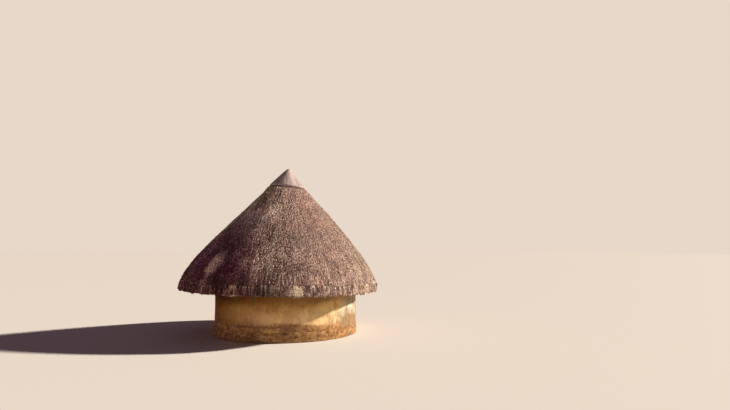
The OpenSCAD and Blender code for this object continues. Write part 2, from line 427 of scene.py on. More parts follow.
def make_cap():
    k = Look("cap_mortar")
    cloud = k.noise(k.place, 2.6, 4.0, 0.6)
    runs = k.noise(k.stretch(k.run, 17, 0.9), 1.0, 4.0, 0.68)
    fine = k.noise(k.place, 55, 3.0, 0.6)
    pits = k.cells(k.place, 70)
    colour = k.ramp(
        add_up(k, k.times(cloud, 0.35), k.times(runs, 0.50), k.times(fine, 0.15)),
        [(0.40, (0.260, 0.168, 0.195)), (0.5, (0.560, 0.408, 0.418)), (0.60, (0.645, 0.570, 0.500))],
    )
    drip = k.span(k.noise(k.stretch(k.run, 26, 1.3), 1.0, 2.0), 0.52, 0.64, 0.0, 0.55)
    colour = k.mix(drip, colour, (0.185, 0.125, 0.135))
    limy = k.span(k.noise(k.stretch(k.run, 21, 1.0), 1.0, 2.0), 0.44, 0.34, 0.0, 0.60)
    colour = k.mix(limy, colour, (0.760, 0.720, 0.630))
    # painted light on a narrow band right of the cap's front, and painted shade further round on its sunlit right
    turned = k.parts(k.run)[0]
    ridge = k.times(k.span(turned, 2.33, 2.42), k.span(turned, 2.72, 2.52))
    colour = k.mix(k.times(ridge, 0.14), colour, (0.930, 0.860, 0.770))
    colour = k.mix(k.times(k.span(turned, 2.56, 2.80), k.span(turned, 3.12, 3.00)), colour, k.mix(1.0, colour, (0.82, 0.89, 0.83), "MULTIPLY"))
    down = k.parts(k.run)[1]
    # painted shade towards the lower edge of the cap and under its lip
    rim = k.calc("ADD", down, k.times(k.noise(k.stretch(k.run, 5, 2), 1.0, 2.0), 0.08))
    colour = k.mix(k.span(rim, 0.67, 0.74, 0.0, 0.16), colour, (0.20, 0.155, 0.14))
    colour = k.shade(colour, k.span(pits, 0.0, 0.28, 0.86, 1.0))
    height = add_up(k, k.times(cloud, 0.8), k.times(fine, 0.12), k.times(k.span(pits, 0.0, 0.3), 0.06))
    return k.finish(colour, k.span(fine, 0.3, 0.7, 0.74, 0.92), height, 0.010)


def round_mark(k, xy, at, reach, soft=0.5, ragged=None):
    """1 inside a rounded patch on the wall, at = (length round, height)."""
    x, y, _ = k.parts(xy)
    dx = k.times(k.calc("SUBTRACT", x, at[0]), 1.0 / reach[0])
    dy = k.times(k.calc("SUBTRACT", y, at[1]), 1.0 / reach[1])
    far = k.calc("SQRT", k.calc("ADD", k.times(dx, dx), k.times(dy, dy)))
    if ragged is not None:
        far = k.calc("ADD", far, ragged)
    return k.span(far, 1.0 - soft, 1.0 + soft, 1.0, 0.0)


def along_wall(azimuth):
    """Length round the wall's face from the doorway's middle, for an azimuth in degrees."""
    return ((azimuth - 90.0) % 360.0) / 360.0 * TAU * WALL_R


EARTH_FOOT = [(0.37, (0.115, 0.055, 0.022)), (0.47, (0.265, 0.132, 0.052)), (0.54, (0.370, 0.202, 0.082)), (0.64, (0.520, 0.325, 0.140))]


def painted_light_left_foot(k):
    """How much paler the foot of the wall is painted towards the left, where it lies in shade: painted light."""
    return k.span(k.parts(k.place)[0], -1.8, 0.1, 2.7, 1.12)


def make_earth():
    k = Look("earth_plaster")
    cloud = k.noise(k.place, 0.9, 4.0, 0.55)
    mid = k.noise(k.place, 4.2, 4.0, 0.6, 0.4)
    fine = k.noise(k.place, 60, 3.0, 0.65)
    small = k.noise(k.place, 12.5, 3.0, 0.6)
    colour = k.ramp(
        add_up(k, k.times(cloud, 0.35), k.times(mid, 0.40), k.times(small, 0.25)),
        [
            (0.43, (0.400, 0.170, 0.028)),
            (0.48, (0.560, 0.290, 0.060)),
            (0.52, (0.700, 0.415, 0.105)),
            (0.57, (0.820, 0.560, 0.200)),
        ],
    )
    # faint trails that run down the face
    trails = k.noise(k.stretch(k.run, 9, 0.8), 1.0, 3.0, 0.55)
    colour = k.shade(colour, k.span(trails, 0.35, 0.68, 0.90, 1.06))
    x, z, _ = k.parts(k.run)
    # a paler, greyer sunlit copy of the plaster's colour painted where the sun falls, and painted shade close under the
    # eave
    sunny = round_mark(k, k.run, (along_wall(-20), 0.9), (1.3, 1.2), 0.6)
    painted_sunlit_tone = k.times(round_mark(k, k.run, (along_wall(-22), 0.72), (1.45, 0.75), 0.55, k.span(mid, 0.3, 0.7, -0.3, 0.3)), 0.72)
    colour = k.mix(painted_sunlit_tone, colour, k.mix(k.span(mid, 0.40, 0.60), (0.405, 0.350, 0.262), (0.500, 0.465, 0.375)))
    side = k.parts(k.place)[0]
    left = k.span(side, -1.90, -1.15, 1.0, 0.0)
    painted_eave_shade = k.times(k.span(k.calc("ADD", z, k.times(mid, 0.25)), 0.88, 1.28, 0.0, 0.96), k.span(sunny, 0.0, 1.0, 1.0, 0.15))
    colour = k.mix(painted_eave_shade, colour, k.mix(k.span(side, -1.3, 0.3), (0.160, 0.042, 0.001), (0.300, 0.150, 0.050)))
    # painted light: the lower wall paler and brighter, for light thrown up from the floor, less where the sun falls
    painted_bounce_light = k.times(k.span(k.calc("ADD", z, k.times(mid, 0.3)), 0.70, 1.12, 0.92, 0.0), k.span(cloud, 0.3, 0.7, 0.7, 1.0))
    painted_bounce_light = k.times(painted_bounce_light, k.span(sunny, 0.0, 1.0, 1.0, 0.12))
    bounce_light_colour = k.mix(k.span(k.calc("ADD", k.times(mid, 0.5), k.times(small, 0.5)), 0.40, 0.60), (0.930, 0.600, 0.260), (1.000, 0.745, 0.420))
    colour = k.mix(painted_bounce_light, colour, bounce_light_colour)
    # painted light on the shaded wall at the right, near the sun's edge, painted shade at the left edge, and a more
    # orange painted shade colour over the left and front
    colour = k.mix(k.times(round_mark(k, k.run, (along_wall(-53), 0.86), (0.50, 0.145), 0.4, k.span(mid, 0.3, 0.7, -0.2, 0.2)), 0.85), colour, (0.960, 0.680, 0.300))
    colour = k.mix(left, colour, k.mix(1.0, colour, (0.70, 0.50, 0.45), "MULTIPLY"))
    colour = k.mix(k.span(side, -1.3, 0.6, 1.0, 0.0), colour, k.mix(1.0, colour, (1.00, 0.86, 0.58), "MULTIPLY"))
    # a warmer painted shade colour under the eave at the right, and a paler, bluer painted light colour where the sun
    # falls
    colour = k.mix(k.times(round_mark(k, k.run, (along_wall(-52), 1.02), (0.75, 0.20), 0.5), 0.9), colour, k.mix(1.0, colour, (0.97, 0.82, 0.62), "MULTIPLY"))
    colour = k.mix(round_mark(k, k.run, (along_wall(-24), 0.68), (0.80, 0.26), 0.45), colour, k.mix(1.0, colour, (0.96, 1.12, 1.36), "MULTIPLY"))
    # painted light in the sun at the right (-34) and painted shade under the eave at the right (-63); the other two are
    # a darker and a warmer patch low on the wall
    for az, high, wide, tall, tone in ((-34, 0.76, 0.42, 0.16, (1.02, 1.12, 1.14)), (-28, 0.44, 0.42, 0.13, (0.80, 0.88, 0.86)),
                                       (-113, 0.62, 0.60, 0.17, (1.12, 1.07, 0.90)), (-63, 1.00, 0.40, 0.12, (0.86, 0.89, 0.92))):
        colour = k.mix(round_mark(k, k.run, (along_wall(az), high), (wide, tall), 0.5), colour, k.mix(1.0, colour, tone, "MULTIPLY"))
    # painted shade on the sunlit right side of the wall, toning down the sun there
    round_x, round_y, _ = k.parts(k.place)
    painted_shade_sun_side = k.times(k.span(round_x, 0.2, 1.4), k.span(round_y, -0.55, 0.25))
    colour = k.mix(painted_shade_sun_side, colour, k.mix(1.0, colour, (0.76, 0.72, 0.78), "MULTIPLY"))
    # rain splash and rising damp over the base course
    edge = k.times(k.calc("SUBTRACT", k.noise(k.stretch(k.run, 2.4, 1.4), 1.0, 4.0, 0.6), 0.5), 0.55)
    high = k.calc("SUBTRACT", z, edge)
    damp = k.span(high, 0.33, 0.48, 0.75, 0.0)
    colour = k.mix(damp, colour, (0.560, 0.270, 0.120))
    rise = k.times(round_mark(k, k.run, (along_wall(-104), 0.4), (1.1, 9.0), 0.6), 0.115)
    splash = k.span(k.calc("SUBTRACT", z, k.calc("ADD", rise, k.times(k.noise(k.stretch(k.run, 16, 9), 1.0, 3.0, 0.7), 0.17))), 0.25, 0.33, 0.95, 0.0)
    foot_colour = k.ramp(add_up(k, k.times(mid, 0.45), k.times(small, 0.55)), EARTH_FOOT)
    # the foot's splash colour is painted paler towards the left: painted light
    colour = k.mix(splash, colour, k.shade(foot_colour, painted_light_left_foot(k)))
    tide = k.calc("SUBTRACT", z, k.times(k.noise(k.stretch(k.run, 11, 7), 1.0, 3.0, 0.7), 0.20))
    tide = k.times(k.span(tide, 0.245, 0.29), k.span(tide, 0.345, 0.31))
    colour = k.mix(k.times(k.times(tide, round_mark(k, k.run, (along_wall(-112), 0.4), (0.75, 9.0), 0.5)), 0.75), colour, (0.190, 0.062, 0.032))
    ragged = k.span(mid, 0.3, 0.7, -0.45, 0.45)
    # pinkish tint low on the front, and the warmer foot at the right
    colour = k.mix(k.times(round_mark(k, k.run, (along_wall(-109), 0.62), (0.75, 0.30), 0.7, ragged), 0.32), colour, (0.60, 0.33, 0.20))
    colour = k.mix(k.times(round_mark(k, k.run, (along_wall(-20), 0.36), (0.60, 0.13), 0.7, ragged), 0.45), colour, (0.42, 0.235, 0.13))
    # darker, greener stains under the eave, and a rubbed pale spot
    for az, h, w, t, s in ((-130, 1.07, 0.14, 0.085, 0.55), (-114.5, 1.05, 0.10, 0.05, 0.5), (-62, 1.12, 0.16, 0.06, 0.4),
                           (38, 1.15, 0.20, 0.10, 0.45), (165, 1.10, 0.16, 0.08, 0.5)):
        colour = k.mix(k.times(round_mark(k, k.run, (along_wall(az), h), (w, t), 0.6, ragged), s), colour, (0.20, 0.155, 0.055))
    colour = k.mix(k.times(round_mark(k, k.run, (along_wall(-116.5), 0.535), (0.30, 0.085), 0.5, ragged), 0.55), colour, (0.52, 0.255, 0.135))
    colour = k.mix(k.times(round_mark(k, k.run, (along_wall(-114.2), 0.63), (0.10, 0.055), 0.35, ragged), 0.55), colour, (0.70, 0.36, 0.17))
    colour = k.mix(k.times(round_mark(k, k.run, (along_wall(-118.4), 0.61), (0.020, 0.055), 0.6), 0.60), colour, (0.95, 0.72, 0.44))
    # painted light: a brighter patch low on the front of the wall
    colour = k.mix(k.times(round_mark(k, k.run, (along_wall(-105), 0.60), (0.30, 0.14), 0.6, ragged), 0.60), colour, (1.00, 0.67, 0.34))
    colour = k.mix(k.times(round_mark(k, k.run, (along_wall(-50.7), 0.895), (0.050, 0.08), 0.6, ragged), 0.45), colour, (0.62, 0.27, 0.09))
    # drips
    for az, h, t, s in ((-38.5, 0.60, 0.17, 0.75), (-50.7, 0.92, 0.13, 0.55), (-33.0, 0.95, 0.12, 0.3), (-78, 0.90, 0.20, 0.22),
                        (12, 0.80, 0.22, 0.4), (55, 0.95, 0.15, 0.4), (140, 0.85, 0.20, 0.4), (196, 0.75, 0.18, 0.4)):
        wander = k.times(k.calc("SUBTRACT", k.noise(k.stretch(k.run, 0.0, 14), 1.0, 2.0), 0.5), 0.9)
        colour = k.mix(k.times(round_mark(k, k.run, (along_wall(az), h), (0.016, t), 0.7, wander), s), colour, (0.21, 0.115, 0.05))
    colour = k.mix(k.times(round_mark(k, k.run, (along_wall(-24), 0.40), (0.72, 0.18), 0.5, ragged), 0.92), colour, (0.290, 0.205, 0.105))
    foot = round_mark(k, k.run, (along_wall(-18), 0.54), (0.95, 0.31), 0.7, ragged)
    combed = k.span(k.noise(k.stretch(k.run, 22, 1.8), 1.0, 3.0, 0.65), 0.44, 0.56)
    colour = k.mix(k.times(foot, 0.35), colour, (0.400, 0.260, 0.150))
    colour = k.mix(k.times(k.times(foot, combed), 0.95), colour, (0.240, 0.120, 0.052))
    # grit, chopped straw and hair cracks
    grit = k.cells(k.place, 130)
    colour = k.shade(colour, k.span(fine, 0.3, 0.7, 0.90, 1.07))
    colour = k.mix(k.span(grit, 0.0, 0.12, 0.35, 0.0), colour, (0.26, 0.17, 0.09))
    crack = k.cells(k.stretch(k.place, 1.0, 1.0, 1.35), 2.3, "DISTANCE_TO_EDGE")
    broken = k.span(k.noise(k.place, 1.7, 2.0), 0.50, 0.62)
    line = k.times(k.span(k.calc("ADD", crack, k.times(k.calc("SUBTRACT", k.noise(k.place, 14, 3.0), 0.5), 0.012)), 0.0, 0.0045, 1.0, 0.0), broken)
    colour = k.mix(k.times(line, 0.45), colour, (0.22, 0.13, 0.06))
    height = add_up(k, k.times(mid, 0.5), k.times(fine, 0.16), k.times(line, -0.12), k.times(k.noise(k.stretch(k.place, 9, 9, 5), 1.0, 2.0), 0.25))
    return k.finish(colour, k.span(fine, 0.3, 0.7, 0.86, 0.97), height, 0.014, specular=0.2)


def make_base():
    k = Look("base_course")
    lump = k.noise(k.stretch(k.place, 1, 1, 1.7), 9, 4.0, 0.66, 0.5)
    fine = k.noise(k.place, 75, 3.0, 0.65)
    colour = k.ramp(
        add_up(k, k.times(lump, 0.7), k.times(fine, 0.3)),
        EARTH_FOOT,
    )
    colour = k.mix(k.span(k.noise(k.place, 3.3, 2.0), 0.55, 0.75, 0.0, 0.4), colour, (0.16, 0.105, 0.060))
    spots = k.cells(k.stretch(k.place, 1, 1, 1.2), 6.5)
    colour = k.mix(k.span(spots, 0.12, 0.26, 0.75, 0.0), colour, (0.065, 0.036, 0.026))
    _, z, _ = k.parts(k.run)
    colour = k.mix(k.span(k.calc("ADD", z, k.times(lump, 0.08)), 0.02, 0.13, 0.45, 0.0), colour, (0.30, 0.21, 0.14))
    # painted light: the base course painted paler towards the left
    colour = k.shade(colour, painted_light_left_foot(k))
    height = add_up(k, k.times(lump, 0.7), k.times(fine, 0.18))
    return k.finish(colour, k.span(fine, 0.3, 0.7, 0.86, 0.98), height, 0.022, specular=0.15)


def make_floor():
    k = Look("rammed_floor")
    cloud = k.noise(k.place, 1.4, 4.0, 0.6)
    fine = k.noise(k.place, 45, 3.0, 0.65)
    colour = k.ramp(
        add_up(k, k.times(cloud, 0.75), k.times(fine, 0.25)),
        [(0.34, (0.20, 0.13, 0.085)), (0.5, (0.29, 0.20, 0.135)), (0.68, (0.38, 0.28, 0.195))],
    )
    colour = k.shade(colour, k.span(k.cells(k.place, 60), 0.0, 0.2, 0.78, 1.0))
    height = add_up(k, k.times(cloud, 0.7), k.times(fine, 0.2))
    return k.finish(colour, k.span(fine, 0.3, 0.7, 0.82, 0.96), height, 0.010)


def make_wood(name, dark, mid, pale, fine_scale=140.0, grey=0.35):
    """Weathered wood whose grain runs along the second of the Run coordinates."""
    k = Look(name)
    shift = k.node("ShaderNodeCombineXYZ")
    k.put(shift.inputs[2], k.times(k.value("tint"), 37.0))
    run = k.node("ShaderNodeVectorMath", operation="ADD")
    k.put(run.inputs[0], k.run)
    k.put(run.inputs[1], shift.outputs[0])
    run = run.outputs[0]
    bend = k.noise(k.stretch(run, 9, 1.3), 1.0, 2.0, 0.5)
    grain = k.noise(k.stretch(run, 46, 1.7), 1.0, 4.0, 0.62, 0.6)
    fine = k.noise(k.stretch(run, fine_scale, 5.0), 1.0, 3.0, 0.6)
    colour = k.ramp(
        add_up(k, k.times(grain, 0.55), k.times(bend, 0.3), k.times(fine, 0.15)),
        [(0.34, dark), (0.5, mid), (0.66, pale)],
    )
    colour = k.mix(k.span(k.noise(k.place, 5.0, 3.0), 0.45, 0.75, 0.0, grey), colour, (0.21, 0.185, 0.165))
    split = k.span(k.noise(k.stretch(run, 75, 1.1), 1.0, 2.0, 0.5, 0.3), 0.66, 0.72)
    colour = k.mix(k.times(split, 0.7), colour, tuple(0.35 * c for c in dark))
    colour = k.shade(colour, k.span(k.value("tint"), 0.0, 1.0, 0.82, 1.15))
    height = add_up(k, k.times(grain, 0.5), k.times(fine, 0.25), k.times(split, -0.45))
    return k.finish(colour, k.span(grain, 0.3, 0.7, 0.68, 0.88), height, 0.004)


# ---------------------------------------------------------------------------
# Lengths of the part
# ---------------------------------------------------------------------------
WALL_R, WALL_RI = 2.025, 1.805
PLINTH_R, PLINTH_H, FLOOR_T = 2.050, 0.280, 0.100
DOOR_HALF, ROUGH_HALF, LINTEL_HALF = 0.400, 0.490, 0.640
SILL_TOP, DOOR_TOP, LINTEL_H = 0.130, 1.760, 0.120
POST_D = 0.180
APEX_X, APEX_Z, LEAN = 0.020, 4.990, math.radians(2.4)
EAVE_Z, EAVE_TILT = 1.270, math.radians(1.0)
POLE_SLOPE, POLE_D0, POLE_D, POLE_REACH, POLE_COUNT = 1.04, 0.730, 0.076, 2.320, 16
POLE_LEN1 = math.sqrt(1 + POLE_SLOPE**2)
LATH_D, LATH_COUNT = 0.030, 11
PLATE_W, PLATE_H, NOTCH = 0.120, 0.120, 0.030
BOSS_R, BOSS_LOW = 0.220, 1.100
CAP_R, CAP_H, CAP_X, CAP_Z, CAP_LEAN = 0.515, 0.515, -0.015, 4.255, math.radians(4.8)

THATCH_IN0 = POLE_D0 - (POLE_D / 2 + LATH_D) * POLE_LEN1
BEAR_R = (WALL_R + WALL_RI) / 2 + 0.020 + PLATE_W / 2
UNDER0 = POLE_D0 + POLE_D / 2 * POLE_LEN1
CL, SL = math.cos(LEAN), math.sin(LEAN)


def bear_z(s):
    r = (s * BEAR_R - APEX_X + UNDER0 * SL) * s / (CL - s * POLE_SLOPE * SL)
    return APEX_Z - s * r * SL - (UNDER0 + POLE_SLOPE * r) * CL


PLATE_MID = (bear_z(1) + bear_z(-1)) / 2
PLATE_TILT = math.atan((bear_z(-1) - bear_z(1)) / (2 * BEAR_R))
PLATE_RI = BEAR_R - PLATE_W


def wall_top(x):
    """Height of the wall's slanting top, under the plate."""
    foot = PLATE_MID + NOTCH - PLATE_H / math.cos(PLATE_TILT)
    return foot - x * math.tan(PLATE_TILT)


def eave_cut(x):
    return EAVE_Z - x * math.tan(EAVE_TILT)


def lean_over(local, angle, origin):
    x, y, z = local[..., 0], local[..., 1], local[..., 2]
    c, s = math.cos(angle), math.sin(angle)
    return np.stack([origin[0] + x * c + z * s, origin[1] + y, origin[2] - x * s + z * c], -1)


def in_roof(r, a, d):
    """The point at radius r, azimuth a and depth d below the apex point, in the roof's own leaning frame."""
    r, a, d = np.broadcast_arrays(r, a, d)
    return lean_over(np.stack([r * np.cos(a), r * np.sin(a), -d], -1), LEAN, (APEX_X, 0, APEX_Z))


# ---------------------------------------------------------------------------
# Thatch
# ---------------------------------------------------------------------------
OUTLINE = np.array([
    (0, .300), (.440, .760), (.509, .815), (.900, 1.190), (1.300, 1.590), (1.680, 1.990),
    (2.040, 2.390), (2.360, 2.800), (2.560, 3.100), (2.720, 3.400), (2.830, 3.700),
    (2.900, 4.000), (2.945, 4.300),
])
TAIL = np.array([(2.362, 3.079), (2.455, 3.440), (2.525, 3.750), (2.580, 4.040), (2.620, 4.340)])
OUT_S = lengths_along(OUTLINE)
INSET = 0.008  # the bed lies this far inside the part's outline, and the stems reach it


def rounded_line(points, at):
    """A smooth curve through points, read at running lengths at: places and unit directions."""
    s = lengths_along(points)
    slope = np.gradient(points, s, axis=0)
    k = np.clip(np.searchsorted(s, at, side="right") - 1, 0, len(s) - 2)
    h = (s[k + 1] - s[k])
    t = (at - s[k]) / h
    h, t = h[..., None], t[..., None]
    a, b, m, n = points[k], points[k + 1], slope[k], slope[k + 1]
    place = (2*t**3 - 3*t**2 + 1) * a + (t**3 - 2*t**2 + t) * h * m + (-2*t**3 + 3*t**2) * b + (t**3 - t**2) * h * n
    way = (6*t**2 - 6*t) * a / h + (3*t**2 - 4*t + 1) * m + (-6*t**2 + 6*t) * b / h + (3*t**2 - 2*t) * n
    return place, way / np.linalg.norm(way, axis=-1, keepdims=True)


FINE_S = np.linspace(0, OUT_S[-1], 4001)
FINE_P, FINE_T = rounded_line(OUTLINE, FINE_S)


def outline(s):
    """Radius, depth and the outward direction of the outline at running length s."""
    s = np.asarray(s, float)
    r, d = np.interp(s, FINE_S, FINE_P[:, 0]), np.interp(s, FINE_S, FINE_P[:, 1])
    tr, td = np.interp(s, FINE_S, FINE_T[:, 0]), np.interp(s, FINE_S, FINE_T[:, 1])
    n = np.hypot(tr, td)
    return r, d, td / n, -tr / n


# Where the trim crosses the outline, for each azimuth
TRIM_A = np.linspace(0, TAU, 721)
_r, _d, _, _ = outline(FINE_S)
_z = in_roof(_r[:, None], TRIM_A[None], _d[:, None])
_gap = _z[..., 2] - eave_cut(_z[..., 0])
_last = (_gap > 0).sum(0) - 1
_k = np.arange(len(TRIM_A))
_share = _gap[_last, _k] / (_gap[_last, _k] - _gap[_last + 1, _k])
TRIM_S = FINE_S[_last] + _share * (FINE_S[1] - FINE_S[0])


def trim_s(a):
    return np.interp(np.mod(a, TAU), TRIM_A, TRIM_S)


def bundles(a, s, r):
    """Height of the combed bundles, from -1 to 1, a hand's breadth across at any radius."""
    sway = a + 0.010 * round_noise(a, s, 40, 0.7, 11) + 0.004 * round_noise(a, s, 90, 0.35, 12)
    slide = s + 0.13 * round_noise(a, s * 0, 130, 1.0, 13)
    return 0.62 * even_noise(sway, slide, r, 0.055, 0.34, 21) + 0.38 * even_noise(a, s, r, 0.06, 0.075, 81)


KNOT_A, KNOT_S = -83.7, 4.37  # the pale tuft on the edge of the eave, azimuth in degrees and running length


def fold_s(a):
    """Running length of the uneven fold over the rolled edge of the eave."""
    return trim_s(a) - 0.225 - 0.045 * round_noise(a, a * 0, 30, 1.0, 35) - 0.032 * round_noise(a, a * 0, 75, 1.0, 36)


def fold_depth(a):
    """How clearly the fold shows, from 0 to 1."""
    shows = np.exp(-(turn(np.degrees(a), -105) / 17) ** 4) + 0.7 * np.exp(-(turn(np.degrees(a), -68) / 9) ** 4)
    return np.clip(0.10 + 0.75 * smooth(round_noise(a, a * 0, 17, 1.0, 34), -0.3, 0.5) + shows, 0, 1) * (
        0.72 + 0.28 * round_noise(a, a * 0, 60, 1.0, 37))


def hanging(a, s):
    """1 on the rolled edge under the fold, 0 above it."""
    return smooth(s, fold_s(a) - 0.02, fold_s(a) + 0.05)


def swell(a, s):
    """How far the thatch stands out of or sinks below its even outline."""
    r = outline(s)[0]
    big = 0.011 * round_noise(a, s, 9, 1.1, 31) + 0.008 * round_noise(a, s, 22, 0.55, 32) + 0.005 * round_noise(a, s, 52, 0.28, 33)
    # a little fuller low on the left, a little leaner halfway up it
    deg = np.degrees(a)
    left = np.exp(-(turn(deg, 188) / 40) ** 2)
    big = big + left * (0.060 * smooth(s, 2.9, 4.55) - 0.018 * np.exp(-((s - 2.3) / 0.6) ** 2))
    # the eave's edge is worn round, most at the right
    right = np.exp(-(turn(deg, -14) / 34) ** 2)
    big = big - (0.016 + 0.030 * right) * smooth(s, trim_s(a) - 0.17, trim_s(a) + 0.02) ** 2
    big = big + (0.012 + 0.034 * np.exp(-(turn(deg, 188) / 60) ** 2)) * np.exp(-((s - 0.76) / 0.17) ** 2)
    under_cap = smooth(s, 0.70, 0.95)
    crease = -0.012 * np.exp(-((s - fold_s(a)) / 0.022) ** 2) * fold_depth(a)
    hung = hanging(a, s) * (0.0060 * even_noise(a, s * 0, r, 0.060, 1.0, 121) + 0.0040 * even_noise(a, s, r, 0.16, 0.5, 131))
    knot = 0.012 * np.exp(-(turn(deg, KNOT_A) * np.radians(r) / 0.20) ** 2 - ((s - KNOT_S) / 0.11) ** 2)
    return -INSET + big + 0.0050 * bundles(a, s, r) * (0.15 + 0.85 * under_cap) + crease + hung + knot


def on_thatch(a, s, lift=0.0):
    """A point on the thatch's face, lift metres above it."""
    r, d, nr, nd = outline(s)
    h = swell(a, s) + lift
    return in_roof(r + nr * h, a, d + nd * h)


def thatch_looks(a, s):
    """Bleached, mossy and darkened places, with painted light and shade: (change of tint, moss, age with painted light
    and shade, share of the painted side colours).
    """
    deg = np.degrees(a)
    arc = np.maximum(outline(s)[0], 0.3)
    rag = 0.35 * round_noise(a, s, 60, 0.22, 41) + 0.25 * round_noise(a, s, 130, 0.11, 42)

    def patch(centre, at, wide, tall, soft=0.45):
        dx = np.radians(turn(deg, centre)) * arc / wide
        far = np.hypot(dx, (s - at) / tall) + rag
        return 1 - smooth(far, 1 - soft, 1 + soft)

    pale = 0.20 * patch(KNOT_A, KNOT_S, 0.20, 0.12, 0.3)
    side = np.radians(turn(deg, -133.0)) * arc + 0.10 * (s - 3.72)
    wisp = 1 - smooth(np.hypot(side / 0.235, (s - 3.71) / 0.45) + 0.55 * rag, 0.30, 1.35)
    wisp = wisp + 0.36 * (1 - smooth(np.hypot((side + 0.02) / 0.170, (s - 4.25) / 0.36) + 0.7 * rag, 0.30, 1.40))
    pale = pale + 1.0 * wisp
    # bleached streaks and blotches of the front
    streaks = 0.0 * s
    for centre, at, wide, tall, much in ((-104, 2.06, 0.26, 0.40, 0.74), (-122, 1.00, 0.14, 0.20, 0.50), (-114, 2.80, 0.20, 0.36, 0.62),
                                         (-104, 3.25, 0.24, 0.34, 0.75), (-120, 3.60, 0.14, 0.20, 0.35), (-109.5, 3.70, 0.26, 0.28, 0.60), (-104.0, 3.92, 0.13, 0.36, 0.75),
                                         (-97, 3.75, 0.12, 0.30, 0.50), (-79, 3.35, 0.28, 0.36, 0.50), (-73, 2.2, 0.20, 0.26, 0.45),
                                         (-72, 4.12, 0.16, 0.16, 0.40)):
        streaks = streaks + much * patch(centre, at, wide, tall, 0.75)
    pale = pale + 0.8 * streaks
    # and places where the thatch is darker; the patch at -134 just under the cap is painted shade from the cap
    for centre, at, wide, tall, much in ((-94, 2.48, 0.30, 0.36, 0.25), (-83, 3.96, 0.30, 0.30, 0.55), (-60, 2.8, 0.26, 0.40, 0.22), (-134, 1.42, 0.20, 0.28, 0.60),
                                         (-46, 3.72, 0.45, 0.28, 0.24), (-132, 3.30, 0.22, 0.24, 0.55), (-117, 3.92, 0.20, 0.20, 0.50),
                                         (-111, 4.18, 0.14, 0.13, 0.60), (-124, 4.24, 0.24, 0.12, 0.45), (-134, 2.30, 0.24, 0.30, 0.30)):
        pale = pale - much * patch(centre, at, wide, tall, 0.75)
    for centre, at, wide, tall, much in ((20, 4.3, 0.25, 0.14, 0.6), (64, 3.5, 0.16, 0.5, 0.4), (118, 4.0, 0.12, 0.4, 0.45),
                                         (150, 2.6, 0.25, 0.5, 0.35), (-28, 3.1, 0.18, 0.5, 0.25), (88, 2.0, 0.25, 0.5, 0.35)):
        pale = pale + much * patch(centre, at, wide, tall, 0.6)
    pale = pale + 0.80 * patch(-113.8, 4.37, 0.10, 0.12, 0.6) + 0.55 * patch(-118.5, 4.42, 0.07, 0.08, 0.6)
    moss = 0.30 * patch(-113.8, 4.37, 0.09, 0.11, 0.6) + 0.42 * patch(-158, 1.15, 0.32, 0.5, 0.7) + 0.22 * patch(-133, 1.35, 0.2, 0.35, 0.7)
    for centre, at, wide, tall, much in ((100, 4.4, 0.12, 0.12, 0.35), (172, 1.5, 0.4, 0.6, 0.35), (70, 1.3, 0.3, 0.5, 0.22)):
        moss = moss + much * patch(centre, at, wide, tall, 0.6)
    wide_age = round_noise(a, s, 11, 0.9, 43) * 0.5 + round_noise(a, s, 27, 0.5, 44) * 0.5
    age = 1.0 + 0.17 * wide_age + 0.10 * round_noise(a, s, 75, 0.5, 45)
    # the rolled edge of the eave: painted shade where it hangs, most at the left, painted light on it towards the
    # sunlit right, and a painted shadow along the crease of the fold over it
    fold = fold_s(a)
    hang = smooth(s, fold, trim_s(a) - 0.04)
    age = age * (1 - 0.12 * hang + 0.34 * hang * smooth(turn(deg, -75), 0, 14) * smooth(turn(deg, -20), 0, -20)) * (1 - 0.26 * hang * np.exp(-(turn(deg, -118) / 26) ** 2))
    # painted light where the sun stands, low at the right and on the shoulders, and a little painted shade low at the
    # left
    sunny = 0.02 + 0.20 * np.exp(-((s - 1.3) / 0.6) ** 2) + 0.16 * smooth(s, 3.5, 4.1)
    shoulder = 0.35 * np.exp(-(turn(deg, -136) / 30) ** 2 - ((s - 1.35) / 0.50) ** 2) + 1.20 * np.exp(-(turn(deg, -120) / 15) ** 2 - ((s - 1.88) / 0.42) ** 2)
    shoulder = shoulder + 0.16 * np.exp(-(turn(deg, -60) / 14) ** 2 - ((s - 1.52) / 0.35) ** 2) - 0.15 * np.exp(-(turn(deg, -137) / 20) ** 2) * smooth(s, 3.95, 4.2)
    low_right = 0.12 * np.exp(-(turn(deg, -46) / 30) ** 2) * smooth(s, 3.3, 4.1)
    age = age * (1 + sunny * np.exp(-(turn(deg, -22) / 42) ** 2) + shoulder + low_right)
    # painted shadow along the crease of the fold
    age = age * (1 - 0.72 * np.exp(-((s - fold) / 0.026) ** 2) * fold_depth(a))
    age = age * (1 + 1.75 * wisp) * (1 + 0.55 * np.clip(streaks, 0, 1.1)) * (1 - 0.05 * np.exp(-(turn(deg, -93) / 24) ** 2) * smooth(s, 2.0, 3.0))
    # painted shade: a darker band down the shaded left
    painted_shade_band = np.exp(-(np.abs(turn(deg, -131)) / 15) ** 3) * smooth(s, 2.45, 2.9) * smooth(s, 4.50, 4.15)
    age = age * (1 - 0.36 * painted_shade_band)
    for centre, at, wide, tall, much in ((-110, 4.18, 0.20, 0.13, 0.40), (-121, 4.25, 0.30, 0.11, 0.32), (-116, 3.95, 0.18, 0.20, 0.20),
                                         (-131, 3.35, 0.24, 0.26, 0.30), (-113.8, 4.38, 0.11, 0.11, -0.9), (-118.5, 4.42, 0.08, 0.07, -0.5)):
        age = age * (1 - much * patch(centre, at, wide, tall, 0.6))
    # painted shade on the sunlit right and back, toning down the sun there
    age = age * (1 - 0.20 * smooth(turn(deg, -6), 0, 26) * smooth(turn(deg, 125), 0, -30))
    age = age * (1 - 0.16 * hang * np.exp(-(turn(deg, -96) / 8) ** 2))
